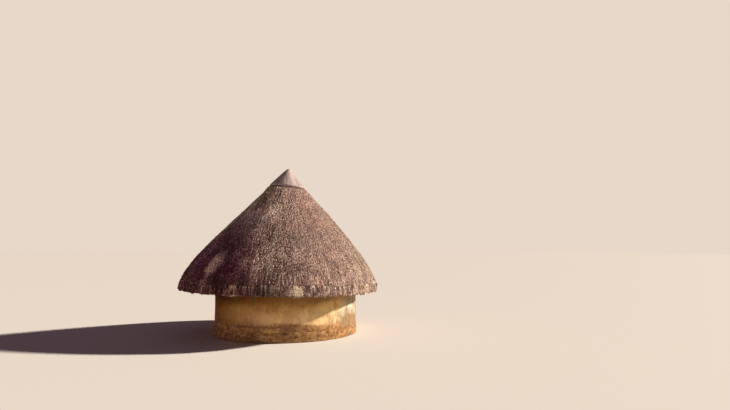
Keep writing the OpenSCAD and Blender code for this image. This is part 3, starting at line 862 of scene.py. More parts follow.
    # in the cap's own shade
    age = age * (1 - 0.60 * smooth(s, 0.790, 0.765))
    # painted shade in the gap beside the tuft
    ring = np.hypot(turn(deg, -82.4) * np.radians(arc) / 0.165, (s - 4.365) / 0.125)
    age = age * (1 - 0.50 * np.exp(-((ring - 1.05) / 0.20) ** 2) * smooth(s, 4.46, 4.36) * smooth(turn(deg, -82.4), -3.5, 0.5))
    age = age * (1 + 0.10 * smooth(s, 1.6, 0.9))
    return 0.42 * np.clip(pale, -1.0, 1.1), np.clip(moss, 0, 1), age, 1 - 0.90 * np.clip(wisp, 0, 1)


# The stems of each course share one picture, laid out in cells above the bed's strips.
BED_SHARE = 0.14


def stem_cells(n, corner_xy, low=BED_SHARE, high=0.998):
    """Lays n stems out in cells of the picture. corner_xy is (n, corners, 2) from 0 to 1 in the stem's own cell."""
    wide = math.sqrt((high - low) * 0.996 / n / 2.0)
    cols = int(math.floor(0.996 / wide))
    rows = int(math.ceil(n / cols))
    w, h = 0.996 / cols, (high - low) / rows
    i = np.arange(n)
    x0, y0 = 0.002 + (i % cols) * w, low + (i // cols) * h
    x = x0[:, None] + w * (0.14 + 0.72 * corner_xy[..., 0])
    y = y0[:, None] + h * (0.08 + 0.84 * corner_xy[..., 1])
    return np.stack([x, y], -1)


class Stems:
    """Gathers stems, each a closed sliver: a root point sunk in the bed and a cut end with three corners."""

    def __init__(self):
        self.parts = []

    def add(self, root, left, right, ridge, run_root, run_tip, tint, moss, age, out=1.0):
        n = len(root)
        p = np.stack([root, left, right, ridge], 1)
        v = np.einsum("ij,ij->i", p[:, 1] - p[:, 0], np.cross(p[:, 2] - p[:, 0], p[:, 3] - p[:, 0]))
        swap = v > 0
        p[swap, 1], p[swap, 2] = p[swap, 2].copy(), p[swap, 1].copy()
        run = np.stack([run_root, run_tip, run_tip, run_tip], 1)
        self.parts.append((p, run, *(np.broadcast_to(x, (n,)) for x in (tint, moss, age, out))))

    def into(self, piece, seed):
        p, run, tint, moss, age, out = (np.concatenate(x) for x in zip(*self.parts))
        n = len(p)
        order = np.random.default_rng(seed).permutation(n)
        p, run, tint, moss, age, out = (x[order] for x in (p, run, tint, moss, age, out))
        tip = np.tile([0.0, 1.0, 1.0, 1.0], (n, 1))
        start = piece.add_points(
            p.reshape(-1, 3),
            tint=np.repeat(tint, 4), tip=tip.ravel(), moss=np.repeat(moss, 4), age=np.repeat(age, 4), out=np.repeat(out, 4),
        )
        own = np.array([[0.5, 0.0], [0.0, 1.0], [1.0, 1.0], [0.5, 0.86]])
        cell = stem_cells(n, np.broadcast_to(own, (n, 4, 2)))
        base = start + 4 * np.arange(n)[:, None]
        for corners in ((0, 1, 2), (0, 3, 1), (0, 2, 3), (1, 3, 2)):
            c = list(corners)
            piece.add_faces(base + np.array(c), run[:, c], mat=0, smooth=False, bake=cell[:, c])


def spread(rng, s_low, s_high, per_m2, radius_of):
    """Even but unruly places between two running lengths: azimuths and running lengths."""
    step = 1 / math.sqrt(per_m2)
    a, s = [], []
    rows = max(1, int(round((s_high - s_low) / step)))
    for k in range(rows):
        mid = s_low + (k + 0.5) * (s_high - s_low) / rows
        n = max(3, int(round(TAU * radius_of(mid) / step)))
        turn0 = rng.uniform(0, TAU)
        a.append((np.arange(n) + rng.uniform(-0.48, 0.48, n)) * TAU / n + turn0)
        s.append(mid + rng.uniform(-0.62, 0.62, n) * (s_high - s_low) / rows)
    return np.mod(np.concatenate(a), TAU), np.concatenate(s)


def drift(a, s, value, reach):
    """Mean of value over the stems that lie within about reach metres of each."""
    total = 0.0
    for u, v in ((0.0, 0.0), (0.5, 0.25), (0.25, 0.75), (0.75, 0.5)):
        row = np.floor(s / reach + v).astype(int)
        col = np.floor(np.mod(a, TAU) * outline((row + 0.5 - v) * reach)[0] / reach + u).astype(int)
        place = np.unique(row * 4096 + col, return_inverse=True)[1]
        total = total + (np.bincount(place, value) / np.bincount(place))[place]
    return total / 4


def face_stems(stems, rng, s_low, s_high, per_m2, length=(0.06, 0.15), width=(0.011, 0.020), lift=(0.0010, 0.0050), trimmed=False):
    """Stems that lie down the slope, with their cut ends standing a little proud."""
    a1, s1 = spread(rng, s_low, s_high, per_m2, lambda s: outline(s)[0])
    if trimmed:
        keep = s1 < trim_s(a1) + 0.012
        a1, s1 = a1[keep], s1[keep]
    n = len(a1)
    L = rng.uniform(*length, n)
    yaw = rng.normal(0, 0.085, n) + 0.045 * round_noise(a1, s1, 26, 0.5, 51)
    r1 = outline(s1)[0]
    s0 = np.maximum(s1 - L * np.cos(yaw), 0.05)
    a0 = a1 - L * np.sin(yaw) / r1
    w = rng.uniform(*width, n) * rng.choice([1.0, 1.0, 1.0, 1.4], n)
    hung = hanging(a1, s1)
    # short tufts, and longer locks low on the front where the thatch was combed
    comb = smooth(s1, 3.75, 4.05) * np.exp(-(turn(np.degrees(a1), -82) / 38) ** 4)
    tuft = (1 - 0.50 * comb) * even_noise(a1, s1, r1, 0.017, 0.026, 51) + 0.85 * comb * even_noise(a1, s1, r1, 0.020, 0.13, 151)
    tuft = (1 - hung) * tuft + 0.80 * hung * even_noise(a1, s1, r1, 0.026, 0.16, 111)
    h = rng.uniform(*lift, n) + 0.0016 * tuft
    h = np.where(rng.random(n) < 0.03, h + rng.uniform(0.003, 0.010, n), h)
    half = w / 2 / r1
    slip = rng.normal(0, 0.15, n) * w
    root = on_thatch(a0, s0, -0.006)
    left = on_thatch(a1 - half, s1 + slip, -0.001)
    right = on_thatch(a1 + half, s1 - slip, -0.001)
    ridge = on_thatch(a1 + rng.normal(0, 0.12, n) * half, s1 - 0.004, np.maximum(h, 0.001))
    clump = 0.10 * even_noise(a1, s1, r1, 0.075, 0.09, 91) + 0.20 * even_noise(a1, s1, r1, 0.16, 0.26, 101)
    clump = clump + 0.20 * (1 - hung) * even_noise(a1, s1, r1, 0.085, 0.34, 141)
    more, moss, age, hue = thatch_looks(a1, s1)
    # painted shade between the hanging locks, darker where their stems lie lower
    age = age * (1 - 0.26 * hung * smooth(even_noise(a1, s1, r1, 0.026, 0.16, 111), -0.10, -0.45))
    # calmer on the sides that lie in full sun and at the back
    bold = 1 - 0.50 * smooth(np.abs(turn(np.degrees(a1), -86)), 82, 112)
    # pale and dark stems lie well mixed: what they share over a hand's breadth is taken off
    mixed = 1.00 * rng.beta(0.85, 1.00, n) - 0.46 + 1.40 * tuft
    mixed = mixed - 0.85 * (1 - hung) * drift(a1, s1, mixed, 0.055)
    # the palest stems are held darker towards the sunlit right: painted shade against the sun there
    tint = np.clip(0.45 + bold * (mixed + clump) + more, 0, 0.94 - 0.18 * smooth(turn(np.degrees(a1), -40), 0, 28))
    around = a1 * 2.4
    stems.add(root, left, right, ridge, np.stack([around, s0], -1), np.stack([around, s1], -1), tint, moss, age, hue)


def knot_stems(stems, rng):
    """The pale tuft on the edge of the eave: a rosette of stems, and a flatter tuft that hangs at its left."""
    r = 2.8
    for az, at, rays, n, reach, spread_out, tint0, green in (
        (-82.4, 4.380, 24, 450, 0.180, (0.0, TAU), 1.17, 0.00),
        (-84.9, 4.385, 12, 200, 0.185, (-0.3, -2.4), 1.04, 0.00),
    ):
        ray = rng.integers(0, rays, n)
        stray = rng.normal(0, 0.09, rays)[ray]
        way = spread_out[0] + (spread_out[1] - spread_out[0]) * (ray + 0.5) / rays + rng.normal(0, 0.09, n) + stray
        L = reach * (0.30 + 0.75 * rng.beta(1.6, 1.3, n)) * rng.uniform(0.78, 1.12, rays)[ray]
        start = rng.uniform(0.0, 0.060, n)
        # some lie with their cut ends in the middle
        inner = rng.random(n) < 0.27
        start, L = np.where(inner, L, start), np.where(inner, start, L)
        across, down = np.sin(way), np.cos(way)
        a0 = np.radians(az) + start * across / r
        s0 = at + start * down
        a1, s1 = np.radians(az) + L * across / r, at + L * down
        s1 = np.minimum(s1, trim_s(a1) + rng.uniform(-0.022, 0.006, n))
        w = rng.uniform(0.011, 0.020, n)
        side_a, side_s = down * w / 2 / r, -across * w / 2
        high = rng.uniform(0.005, 0.015, n)
        root = on_thatch(a0, s0, 0.010)
        left = on_thatch(a1 - side_a, s1 - side_s, -0.002)
        right = on_thatch(a1 + side_a, s1 + side_s, -0.002)
        ridge = on_thatch(a1, s1, high)
        tint = np.clip(tint0 - 0.30 * L / reach - 0.16 * (ray % 2) + rng.uniform(-0.06, 0.06, rays)[ray] + rng.uniform(-0.20, 0.10, n), 0, 0.90)
        stems.add(root, left, right, ridge, np.stack([a0 * 2.4, s0], -1), np.stack([a1 * 2.4, s1], -1), tint, green, 1.40 - 0.12 * L / reach, 2.0)


def inner_point(i):
    if i == 0:
        return np.array([0.0, THATCH_IN0])
    if i >= 8:
        return TAIL[i - 8]
    r, d = OUTLINE[i]
    t = (THATCH_IN0 + POLE_SLOPE * r - d) / (1 / POLE_LEN1 + POLE_SLOPE**2 / POLE_LEN1)
    return np.array([r - t * POLE_SLOPE / POLE_LEN1, d + t / POLE_LEN1])


def inner_face(a, line, t, lift):
    """A point on the thatch's inner face: line is its outline, t from 0 to 1 along it, lift towards the room."""
    s = lengths_along(line)
    at = t * s[-1]
    r, d = np.interp(at, s, line[:, 0]), np.interp(at, s, line[:, 1])
    tr, td = np.gradient(line[:, 0], s), np.gradient(line[:, 1], s)
    nr, nd = -np.interp(at, s, td), np.interp(at, s, tr)
    return in_roof(r + nr * lift, a, d + nd * lift)


def inner_trim(line, lift):
    """Share of the inner outline at which the trim cuts it, for each azimuth of TRIM_A."""
    full = np.linspace(0, 1, 401)
    p = inner_face(TRIM_A[None], line, full[:, None], np.full((1, len(TRIM_A)), lift))
    gap = p[..., 2] - eave_cut(p[..., 0])
    last = np.clip((gap > 0).sum(0) - 1, 0, 399)
    k = np.arange(len(TRIM_A))
    return full[last] + gap[last, k] / (gap[last, k] - gap[last + 1, k]) * full[1]


def thatch_bed(piece, cols, rows_s, inner_line, inner_rows, trimmed=False):
    """The closed body of a course. rows_s are the outer rows' running lengths, the last at the trim where trimmed."""
    a = np.arange(cols) * TAU / cols
    A, _ = np.meshgrid(a, rows_s)
    S = np.repeat(np.asarray(rows_s, float)[:, None], cols, 1)
    if trimmed:
        top = rows_s[0]
        share = (S - top) / (rows_s[-1] - top)
        S = top + share * (trim_s(A) - top)
    # the first and, but at the trim, the last row dip under the neighbouring course
    dip = np.zeros(len(rows_s))
    if rows_s[0] > 0.1:
        dip[0] = 0.020
        S[0] -= 0.030
    if not trimmed:
        dip[-1] = 0.020
        S[-1] += 0.030
    outer = on_thatch(A, S, -dip[:, None])
    t = np.linspace(1, 0, inner_rows)
    rough = 0.004 * bundles(A[0][None], t[:, None] * 2, 2.4) + 0.004 * round_noise(A[0][None], t[:, None] * 2, 40, 0.3, 61)
    inner = inner_face(A[0][None], inner_line, t[:, None], -0.006 + rough)
    if trimmed:
        end = np.interp(a, TRIM_A, inner_trim(inner_line, -0.006))
        inner = inner_face(A[0][None], inner_line, t[:, None] * end[None], -0.006 + rough)
    low = outer[-1], inner[0]
    high = inner[-1], outer[0]
    joins = 9 if trimmed else 2
    below = []
    for k in range(1, joins + 1):
        f = k / (joins + 1)
        row = low[0] * (1 - f) + low[1] * f
        if trimmed:
            arch = 0.016 * (1 - (2 * f - 1) ** 4) + 0.007 * round_noise(a, np.full(cols, f * 0.33), 300, 0.035, 62)
            row = row - np.array([0, 0, 1.0]) * (arch[:, None] - 0.004)
        below.append(row)
    above = [high[0] * (1 - f) + high[1] * f for f in (1 / 3, 2 / 3)]
    grid = np.concatenate([outer, np.array(below), inner, np.array(above)])
    points, faces, ci, cj = net(grid, True, True)
    top_row = ci.min(1)
    joined = (top_row >= len(outer) - 1) & (top_row < len(outer) + joins) | (top_row >= len(outer) + joins + inner_rows - 1)
    around = np.append(a, TAU) * 2.4
    down = np.append(S.mean(1), rows_s[-1] + np.linspace(0.03, 0.35, joins))
    down = np.append(down, np.linspace(down[-1], down[-1] + (rows_s[-1] - rows_s[0]), inner_rows))
    down = np.append(down, down[-1] + np.array([0.1, 0.2, 0.3]))
    more, moss, age, hue = thatch_looks(A, S)
    rest = (len(grid) - len(outer), cols)
    more = np.concatenate([more, np.zeros(rest)])
    moss = np.concatenate([moss, np.zeros(rest)])
    age = np.concatenate([age, np.full(rest, 0.92)])
    out = np.concatenate([hue, np.zeros(rest)])
    start = piece.add_points(points, tint=0.2 + more.ravel() * 0.6, tip=0.0, moss=moss.ravel(), age=age.ravel(), out=out.ravel())
    # two strips of the picture, one above the other
    per = np.linalg.norm(np.diff(np.concatenate([grid[:, :1], grid[:1, :1]])[:, 0], axis=0), axis=1)
    ring = np.concatenate([[0], np.cumsum(per)])
    ring /= ring[-1]
    half = cols // 2
    second = (cj.min(1) >= half)[:, None]
    u = (cj - np.where(second, half, 0)) / half
    strip = BED_SHARE / 2
    v = strip * (0.05 + 0.90 * ring[ci]) + np.where(second, strip, 0)
    runs = np.stack([around[cj], down[ci]], -1)
    bakes = np.stack([0.003 + 0.994 * u, v], -1)
    for some, even in ((~joined, True), (joined, trimmed)):
        piece.add_faces(faces[some] + start, runs[some], mat=1, smooth=even, bake=bakes[some])


def inner_stems(stems, rng, line, per_m2, trimmed=False):
    """Stems on the room's side of the thatch."""
    s = lengths_along(line)
    end = inner_trim(line, 0.0) if trimmed else np.ones(len(TRIM_A))
    middle = line[:, 0].mean()
    n = int(TAU * middle * s[-1] * end.mean() * per_m2)
    a1 = rng.uniform(0, TAU, n)
    t1 = rng.uniform(0.02, 1.0, n) * (np.interp(a1, TRIM_A, end) - (0.01 if trimmed else 0.0))
    L = rng.uniform(0.15, 0.35, n)
    t0 = t1 - L / s[-1]
    yaw = rng.normal(0, 0.07, n)
    r = np.interp(t1 * s[-1], s, line[:, 0])
    a0 = a1 - L * np.sin(yaw) / r
    half = rng.uniform(0.010, 0.020, n) / 2 / r
    root = inner_face(a0, line, np.maximum(t0, 0), -0.020)
    left = inner_face(a1 - half, line, t1, -0.008)
    right = inner_face(a1 + half, line, t1, -0.008)
    ridge = inner_face(a1, line, t1, rng.uniform(0.000, 0.006, n))
    tint = np.clip(rng.beta(2.5, 2.5, n), 0, 1)
    stems.add(root, left, right, ridge, np.stack([a1 * 2.4, t0 * 2], -1), np.stack([a1 * 2.4, t1 * 2], -1), tint, 0.0, 0.95, 0.0)


def butt_stems(stems, rng, inner_line, n):
    """The cut ends that show under the eave, and the fringe at its edge."""
    a = (np.arange(n) + rng.uniform(-0.5, 0.5, n)) * TAU / n
    f = np.where(rng.random(n) < 0.42, rng.uniform(0.0, 0.10, n), rng.uniform(0.0, 0.97, n))
    end_out = trim_s(a)
    out_pt = on_thatch(a, end_out - 0.004)
    in_share = np.interp(np.mod(a, TAU), TRIM_A, inner_trim(inner_line, -0.012))
    in_pt = inner_face(a, inner_line, in_share, -0.012)
    tipc = out_pt * (1 - f[:, None]) + in_pt * f[:, None]
    down_out = on_thatch(a, end_out) - on_thatch(a, end_out - 0.10)
    down_out /= np.linalg.norm(down_out, axis=1, keepdims=True)
    down = down_out * (1 - 0.55 * f[:, None]) + np.array([0, 0, -1.0]) * 0.55 * f[:, None]
    down += rng.normal(0, 0.09, (n, 3))
    down /= np.linalg.norm(down, axis=1, keepdims=True)
    drop = rng.uniform(0.002, 0.026, n) + 0.016 * (1 - (2 * f - 1) ** 4) * (f > 0.02) + 0.008 * round_noise(a, f * 0, 70, 1.0, 63)
    drop = np.where(f < 0.10, drop * 0.9, drop)
    # the edge hangs in uneven locks
    locks = np.clip(round_noise(a, f * 0, 150, 1.0, 64), 0, 1) + 0.6 * np.clip(round_noise(a, f * 0, 420, 1.0, 65), 0, 1)
    drop = drop + 0.030 * locks * (f < 0.12)
    drop = np.where(rng.random(n) < 0.04, drop + rng.uniform(0.005, 0.02, n), drop)
    along = np.stack([-np.sin(a), np.cos(a), np.zeros(n)], -1)
    out = np.cross(along, down)
    out /= np.linalg.norm(out, axis=1, keepdims=True)
    spin = rng.uniform(0, TAU, n)
    size = rng.uniform(0.007, 0.014, n)
    tip = tipc + down * drop[:, None]
    corners = [
        tip + along * (size * np.cos(spin + q))[:, None] + out * (size * np.sin(spin + q))[:, None]
        + down * rng.uniform(-0.003, 0.003, n)[:, None]
        for q in (0, TAU / 3, 2 * TAU / 3)
    ]
    root = tipc - down * rng.uniform(0.10, 0.2, n)[:, None] - out * (0.014 * (f < 0.06))[:, None] * np.sign((out * np.stack([np.cos(a), np.sin(a), np.zeros(n)], -1)).sum(1))[:, None]
    more, moss, age, _ = thatch_looks(a, end_out - 0.05)
    tint = np.clip(rng.beta(2.4, 2.4, n) + more * (f < 0.15), 0, 1)
    around = a * 2.4
    stems.add(root, *corners, np.stack([around, end_out], -1), np.stack([around, end_out + 0.15 + f], -1), tint, moss * (f < 0.15), np.where(f < 0.12, age, 0.85), np.where(f < 0.3, 1.0, 0.0))


def make_thatch():
    straw, bed = make_straw(), make_straw_bed()
    quarters = ("front", "left", "back", "right")
    values = ("tint", "tip", "moss", "age", "out")
    courses = (
        # name, outline from and to, columns, row spacing, stems per square metre, inner rows
        ("thatch_top", 0, 3, 320, 0.045, 2300, 6),
        ("thatch_upper", 3, 5, 576, 0.042, 2350, 7),
        ("thatch_middle", 5, 7, 768, 0.045, 2350, 8),
        ("thatch_lower", 7, 9, 768, 0.044, 2700, 7),
        ("thatch_eave", 9, 12, 800, 0.045, 2850, 8),
    )
    for k, (name, first, last, cols, gap, density, inner_rows) in enumerate(courses):
        rng = np.random.default_rng(700 + k)
        piece = Piece(f"{name}_stems", values)
        stems = Stems()
        s_low, s_high = OUT_S[first], OUT_S[last]
        trimmed = name == "thatch_eave"
        if name == "thatch_top":
            s_low = 0.02
        if trimmed:
            s_high = float(TRIM_S.mean())
        rows = np.linspace(s_low, s_high, max(4, int(round((s_high - s_low) / gap))))
        rows = np.concatenate([rows[:1] if k else [], rows, rows[-1:] if not trimmed else []])
        inner_line = np.array([inner_point(i) for i in range(first, last + 1)])
        if name == "thatch_top":
            inner_line[0] = (0.02, THATCH_IN0 + 0.02)
        thatch_bed(piece, cols, rows, inner_line, inner_rows, trimmed)
        shown = max(s_low, 0.735)
        face_stems(stems, rng, shown, s_high + (0.10 if trimmed else 0.0), density, trimmed=trimmed)
        inner_stems(stems, rng, inner_line, 130, trimmed)
        if trimmed:
            butt_stems(stems, rng, inner_line, 15800)
            knot_stems(stems, rng)
        stems.into(piece, 900 + k)
        nodes = [f"{name}_{q}" for q in quarters] if name not in ("thatch_top", "thatch_upper") else [name]
        piece.build([straw, bed], nodes)


# ---------------------------------------------------------------------------
# Wall, base course and floor
# ---------------------------------------------------------------------------
def hand_work(a, z, seed):
    """How far the plaster stands from its even round, in metres."""
    h = 0.0050 * round_noise(a, z, 11, 0.9, seed) + 0.0034 * round_noise(a, z, 31, 0.42, seed + 1)
    return h + 0.0022 * round_noise(a, z, 76, 0.17, seed + 2) + 0.0010 * round_noise(a, z, 170, 0.08, seed + 3)


def lintel_hollow(x, z):
    near = (1 - smooth(np.abs(x), LINTEL_HALF + 0.01, LINTEL_HALF + 0.06))
    return near * smooth(z, DOOR_TOP - 0.045, DOOR_TOP - 0.005) * (1 - smooth(z, DOOR_TOP + LINTEL_H + 0.005, DOOR_TOP + LINTEL_H + 0.045))


def outer_face(a, z):
    x = WALL_R * np.cos(a)
    back = np.sin(a) > 0
    skirt = 0.018 * (1 - smooth(z, 0.235, 0.262))
    return WALL_R - 0.004 + hand_work(a, z, 71) - 0.020 * lintel_hollow(x, z) * back - skirt


def inner_wall_face(a, z):
    x = WALL_RI * np.cos(a)
    back = np.sin(a) > 0
    skirt = 0.010 * (1 - smooth(z, 0.235, 0.262))
    return WALL_RI + 0.002 + 0.7 * hand_work(a, z, 81) + 0.020 * lintel_hollow(x, z) * back + skirt


def ring_length(t, r):
    """Azimuth at share t of the ring that starts and ends at the doorway's straight sides."""
    gap = np.arcsin(ROUGH_HALF / r)
    return math.pi / 2 + gap + t * (TAU - 2 * gap)


def closed_ends(piece, start, grid, run_of):
    """Flat faces over the first and last columns of a grid whose rows close on themselves."""
    rows, cols = grid.shape[:2]
    for j, flip in ((0, False), (cols - 1, True)):
        loop = start + np.arange(rows) * cols + j
        p = grid[:, j]
        mid = p.mean(0)
        area = np.cross(p - mid, np.roll(p, -1, 0) - mid).sum(0)
        inward = grid[:, 1 if j == 0 else cols - 2].mean(0) - mid
        if area @ inward > 0:
            loop = loop[::-1]
            p = p[::-1]
        piece.add_faces(loop[None], run_of(p), mat=0, smooth=False)


def ring_wall(piece, t, outer, inner, z_rows_out, z_rows_in, run_r, seed_tint=0.5):
    """A stretch of ring with an outer and an inner face. outer and inner give the radius at an azimuth and a height."""
    T = t[None]

    def face(radius, z):
        z = np.broadcast_to(z, (z.shape[0], len(t)))
        r = np.full(z.shape, WALL_R)
        for _ in range(3):
            r = radius(ring_length(T, r), z)
        a = ring_length(T, r)
        return np.stack([r * np.cos(a), r * np.sin(a), z], -1), a

    out, a_out = face(outer, z_rows_out)
    inn, a_in = face(inner, z_rows_in[::-1])
    grid = np.concatenate([out, inn])
    ang = np.concatenate([a_out, a_in])
    points, faces, ci, cj = net(grid, True, False)
    start = piece.add_points(points, tint=seed_tint)
    x = (ang - math.pi / 2) * run_r
    z = grid[..., 2]
    rows = len(grid)
    run = np.stack([x[ci % rows, cj], z[ci % rows, cj]], -1)
    piece.add_faces(faces + start, run)
    closed_ends(piece, start, grid, lambda p: np.stack([p[:, 1] + 20.0, p[:, 2]], -1))


def make_wall(earth):
    t = np.linspace(0, 1, 361)
    # finer columns beside the doorway
    piece = Piece("earth_wall_plaster", ("tint",))
    xs = WALL_R * np.cos(ring_length(t, WALL_R))
    share = np.concatenate([[0.0, 0.012, 0.03], np.linspace(0.05, 1.0, 52)])[:, None]
    top = wall_top(xs)[None]
    z_out = 0.205 + share * (top - 0.205)
    share_in = np.concatenate([[0.0, 0.012, 0.03], np.linspace(0.06, 1.0, 30)])[:, None]
    xi = WALL_RI * np.cos(ring_length(t, WALL_RI))
    z_in = 0.205 + share_in * (wall_top(xi)[None] - 0.205)
    ring_wall(piece, t, outer_face, inner_wall_face, z_out, z_in, WALL_R)
    piece.build([earth], [
        "wall_back_left", "wall_front_left", "wall_front", "wall_front_right", "wall_back_right",
    ])
    # the bit of wall over the doorway
    over = Piece("wall_over_door_plaster", ("tint",))
    x = np.linspace(-ROUGH_HALF, ROUGH_HALF, 29)[None]
    z0 = DOOR_TOP + LINTEL_H
    share = np.linspace(0, 1, 12)[:, None]
    z = z0 + share * (wall_top(x) - z0)

    def side(radius, z):
        r = np.full(z.shape, WALL_R)
        X = np.broadcast_to(x, z.shape)
        for _ in range(3):
            r = radius(np.arccos(X / r), z)
        return np.stack([X, np.sqrt(r * r - X * X), z], -1)

    grid = np.concatenate([side(outer_face, z), side(inner_wall_face, z)[::-1]])
    points, faces, ci, cj = net(grid, True, False)
    start = over.add_points(points, tint=0.5)
    rows = len(grid)
    run = np.stack([-grid[..., 0][ci % rows, cj], grid[..., 2][ci % rows, cj]], -1)
    over.add_faces(faces + start, run)
    closed_ends(over, start, grid, lambda p: np.stack([p[:, 1] + 20.0, p[:, 2]], -1))
    over.build([earth], ["wall_over_door"])


def make_base_course():
    mat = make_base()
    piece = Piece("base_course_face", ("tint",))
    t = np.linspace(0, 1, 421)
    T = t[None]
    # section from the ground outside, up and over, and down the inside
    out_share = np.linspace(0, 1, 9)[:, None]

    def rough(a, z, seed, much=1.0):
        return much * (0.0060 * round_noise(a, z, 58, 0.22, seed) + 0.0045 * round_noise(a, z, 150, 0.085, seed + 1) + 0.0020 * round_noise(a, z, 340, 0.04, seed + 2))

    a0 = ring_length(T, PLINTH_R)
    crest = PLINTH_H - 0.022 + 0.016 * round_noise(a0, a0 * 0, 46, 1.0, 93) + 0.009 * round_noise(a0, a0 * 0, 130, 1.0, 94)
    rows = []
    for share in np.linspace(0, 1, 10):
        z = share * (crest - 0.010)
        r = PLINTH_R - 0.009 + rough(a0, z, 91) - 0.004 * smooth(share, 0.75, 1.0)
        rows.append((r, z))
    rows.append((PLINTH_R - 0.016 + rough(a0, crest, 91, 0.7), crest - 0.001))
    rows.append((PLINTH_R - 0.026 + rough(a0, crest, 91, 0.3), crest + 0.004))
    rows.append((np.full_like(a0, WALL_R - 0.030), crest + 0.006))
    rows.append((np.full_like(a0, WALL_RI + 0.030), crest + 0.004))
    rows.append((np.full_like(a0, WALL_RI + 0.004), crest))
    for share in np.linspace(1, 0, 4):
        rows.append((WALL_RI + rough(a0, share * 0.3, 97, 0.4), share * (crest - 0.012)))
    grid = []
    for r, z in rows:
        a = ring_length(T, r)
        grid.append(np.stack([r * np.cos(a), r * np.sin(a), np.broadcast_to(z, r.shape)], -1)[0])
    grid = np.array(grid)
    points, faces, ci, cj = net(grid, True, False)
    start = piece.add_points(points, tint=0.5)
    n = len(grid)
    x = (ring_length(t, PLINTH_R) - math.pi / 2) * PLINTH_R
    run = np.stack([x[cj], grid[..., 2][ci % n, cj]], -1)
    piece.add_faces(faces + start, run)
    closed_ends(piece, start, grid, lambda p: np.stack([p[:, 1] + 20.0, p[:, 2]], -1))
    piece.build([mat], [
        "plinth_back_left", "plinth_front_left", "plinth_front", "plinth_front_right", "plinth_back_right",
    ])


def make_floor_disc():
    piece = Piece("floor_rammed", ("tint",))
    cols = 144
    a = np.arange(cols) * TAU / cols
    top = np.concatenate([[0.02], np.linspace(0.12, 1.76, 18), [WALL_RI - 0.012, WALL_RI - 0.001]])
    rows = []
    for r in top:
        z = FLOOR_T - 0.004 + 0.0022 * round_noise(a, np.full(cols, r), 7, 0.45, 101) + 0.0014 * round_noise(a, np.full(cols, r), 23, 0.2, 102)
        z = z - 0.004 * np.exp(-((r * np.cos(a)) / 0.35) ** 2) * smooth(r * np.sin(a), 0.6, 1.5)
        if r == top[-1]:
            z = z - 0.006
        rows.append(np.stack([r * np.cos(a), r * np.sin(a), z], -1))
    for r in (WALL_RI - 0.001, 0.02):
        rows.append(np.stack([r * np.cos(a), r * np.sin(a), np.zeros(cols)], -1))
    grid = np.array(rows)
    points, faces, ci, cj = net(grid, True, True)
    start = piece.add_points(points, tint=0.5)
    run = points[:, :2][faces]
    piece.add_faces(faces + start, run)
    piece.build([make_floor()], ["floor"])


# ---------------------------------------------------------------------------
# Cap
# ---------------------------------------------------------------------------
def make_roof_cap():
    piece = Piece("roof_cap_moulded", ("tint",))
    section = np.array([
        (.060, .470), (.200, .330), (.380, .120), (.470, -.020), (.488, -.052), (.497, -.058),
        (.506, -.052), (.5125, -.038), (.5135, -.024), (.508, -.006), (.490, .016), (.460, .052), (.410, .110),
        (.360, .168), (.310, .226), (.260, .284), (.210, .341), (.160, .396), (.115, .443), (.085, .474),
        (.060, .494), (.040, .505), (.022, .511), (.006, .5135),
    ])
    # finer rows between the points
    s = lengths_along(section)
    at = np.sort(np.concatenate([s, (s[:-1] + s[1:]) / 2]))
    sec, _ = rounded_line(section, np.clip(at, 0, s[-1] - 1e-9))
    cols = 200
    a = np.arange(cols) * TAU / cols
    A = np.broadcast_to(a[None], (len(sec), cols))
    Z = np.repeat(sec[:, 1:], cols, 1)
    R = np.repeat(sec[:, :1], cols, 1)
    face = smooth(R, 0.02, 0.12) * (np.arange(len(sec)) > 8)[:, None]
    bulge = 0.0035 * round_noise(A, Z, 7, 0.22, 111) + 0.0020 * round_noise(A, Z, 17, 0.12, 112) + 0.0008 * round_noise(A, Z, 60, 0.05, 113)
    R = R + bulge * face - 0.0025 * face
    lip = np.exp(-((Z + 0.045) / 0.03) ** 2)
    Z = Z + 0.0035 * round_noise(A, Z * 0, 13, 1.0, 114) * lip + 0.0015 * round_noise(A, Z * 0, 44, 1.0, 115) * lip
    grid = lean_over(np.stack([R * np.cos(A), R * np.sin(A), Z], -1), CAP_LEAN, (CAP_X, 0, CAP_Z))
    points, faces, ci, cj = net(grid, True, True)
    start = piece.add_points(points, tint=0.5)
    around = np.append(a, TAU) * 0.5
    down = s[-1] - np.append(at, s[-1] + 0.05)
    piece.add_faces(faces + start, np.stack([around[cj], down[ci]], -1))
    piece.build([make_cap()], ["roof_cap"])


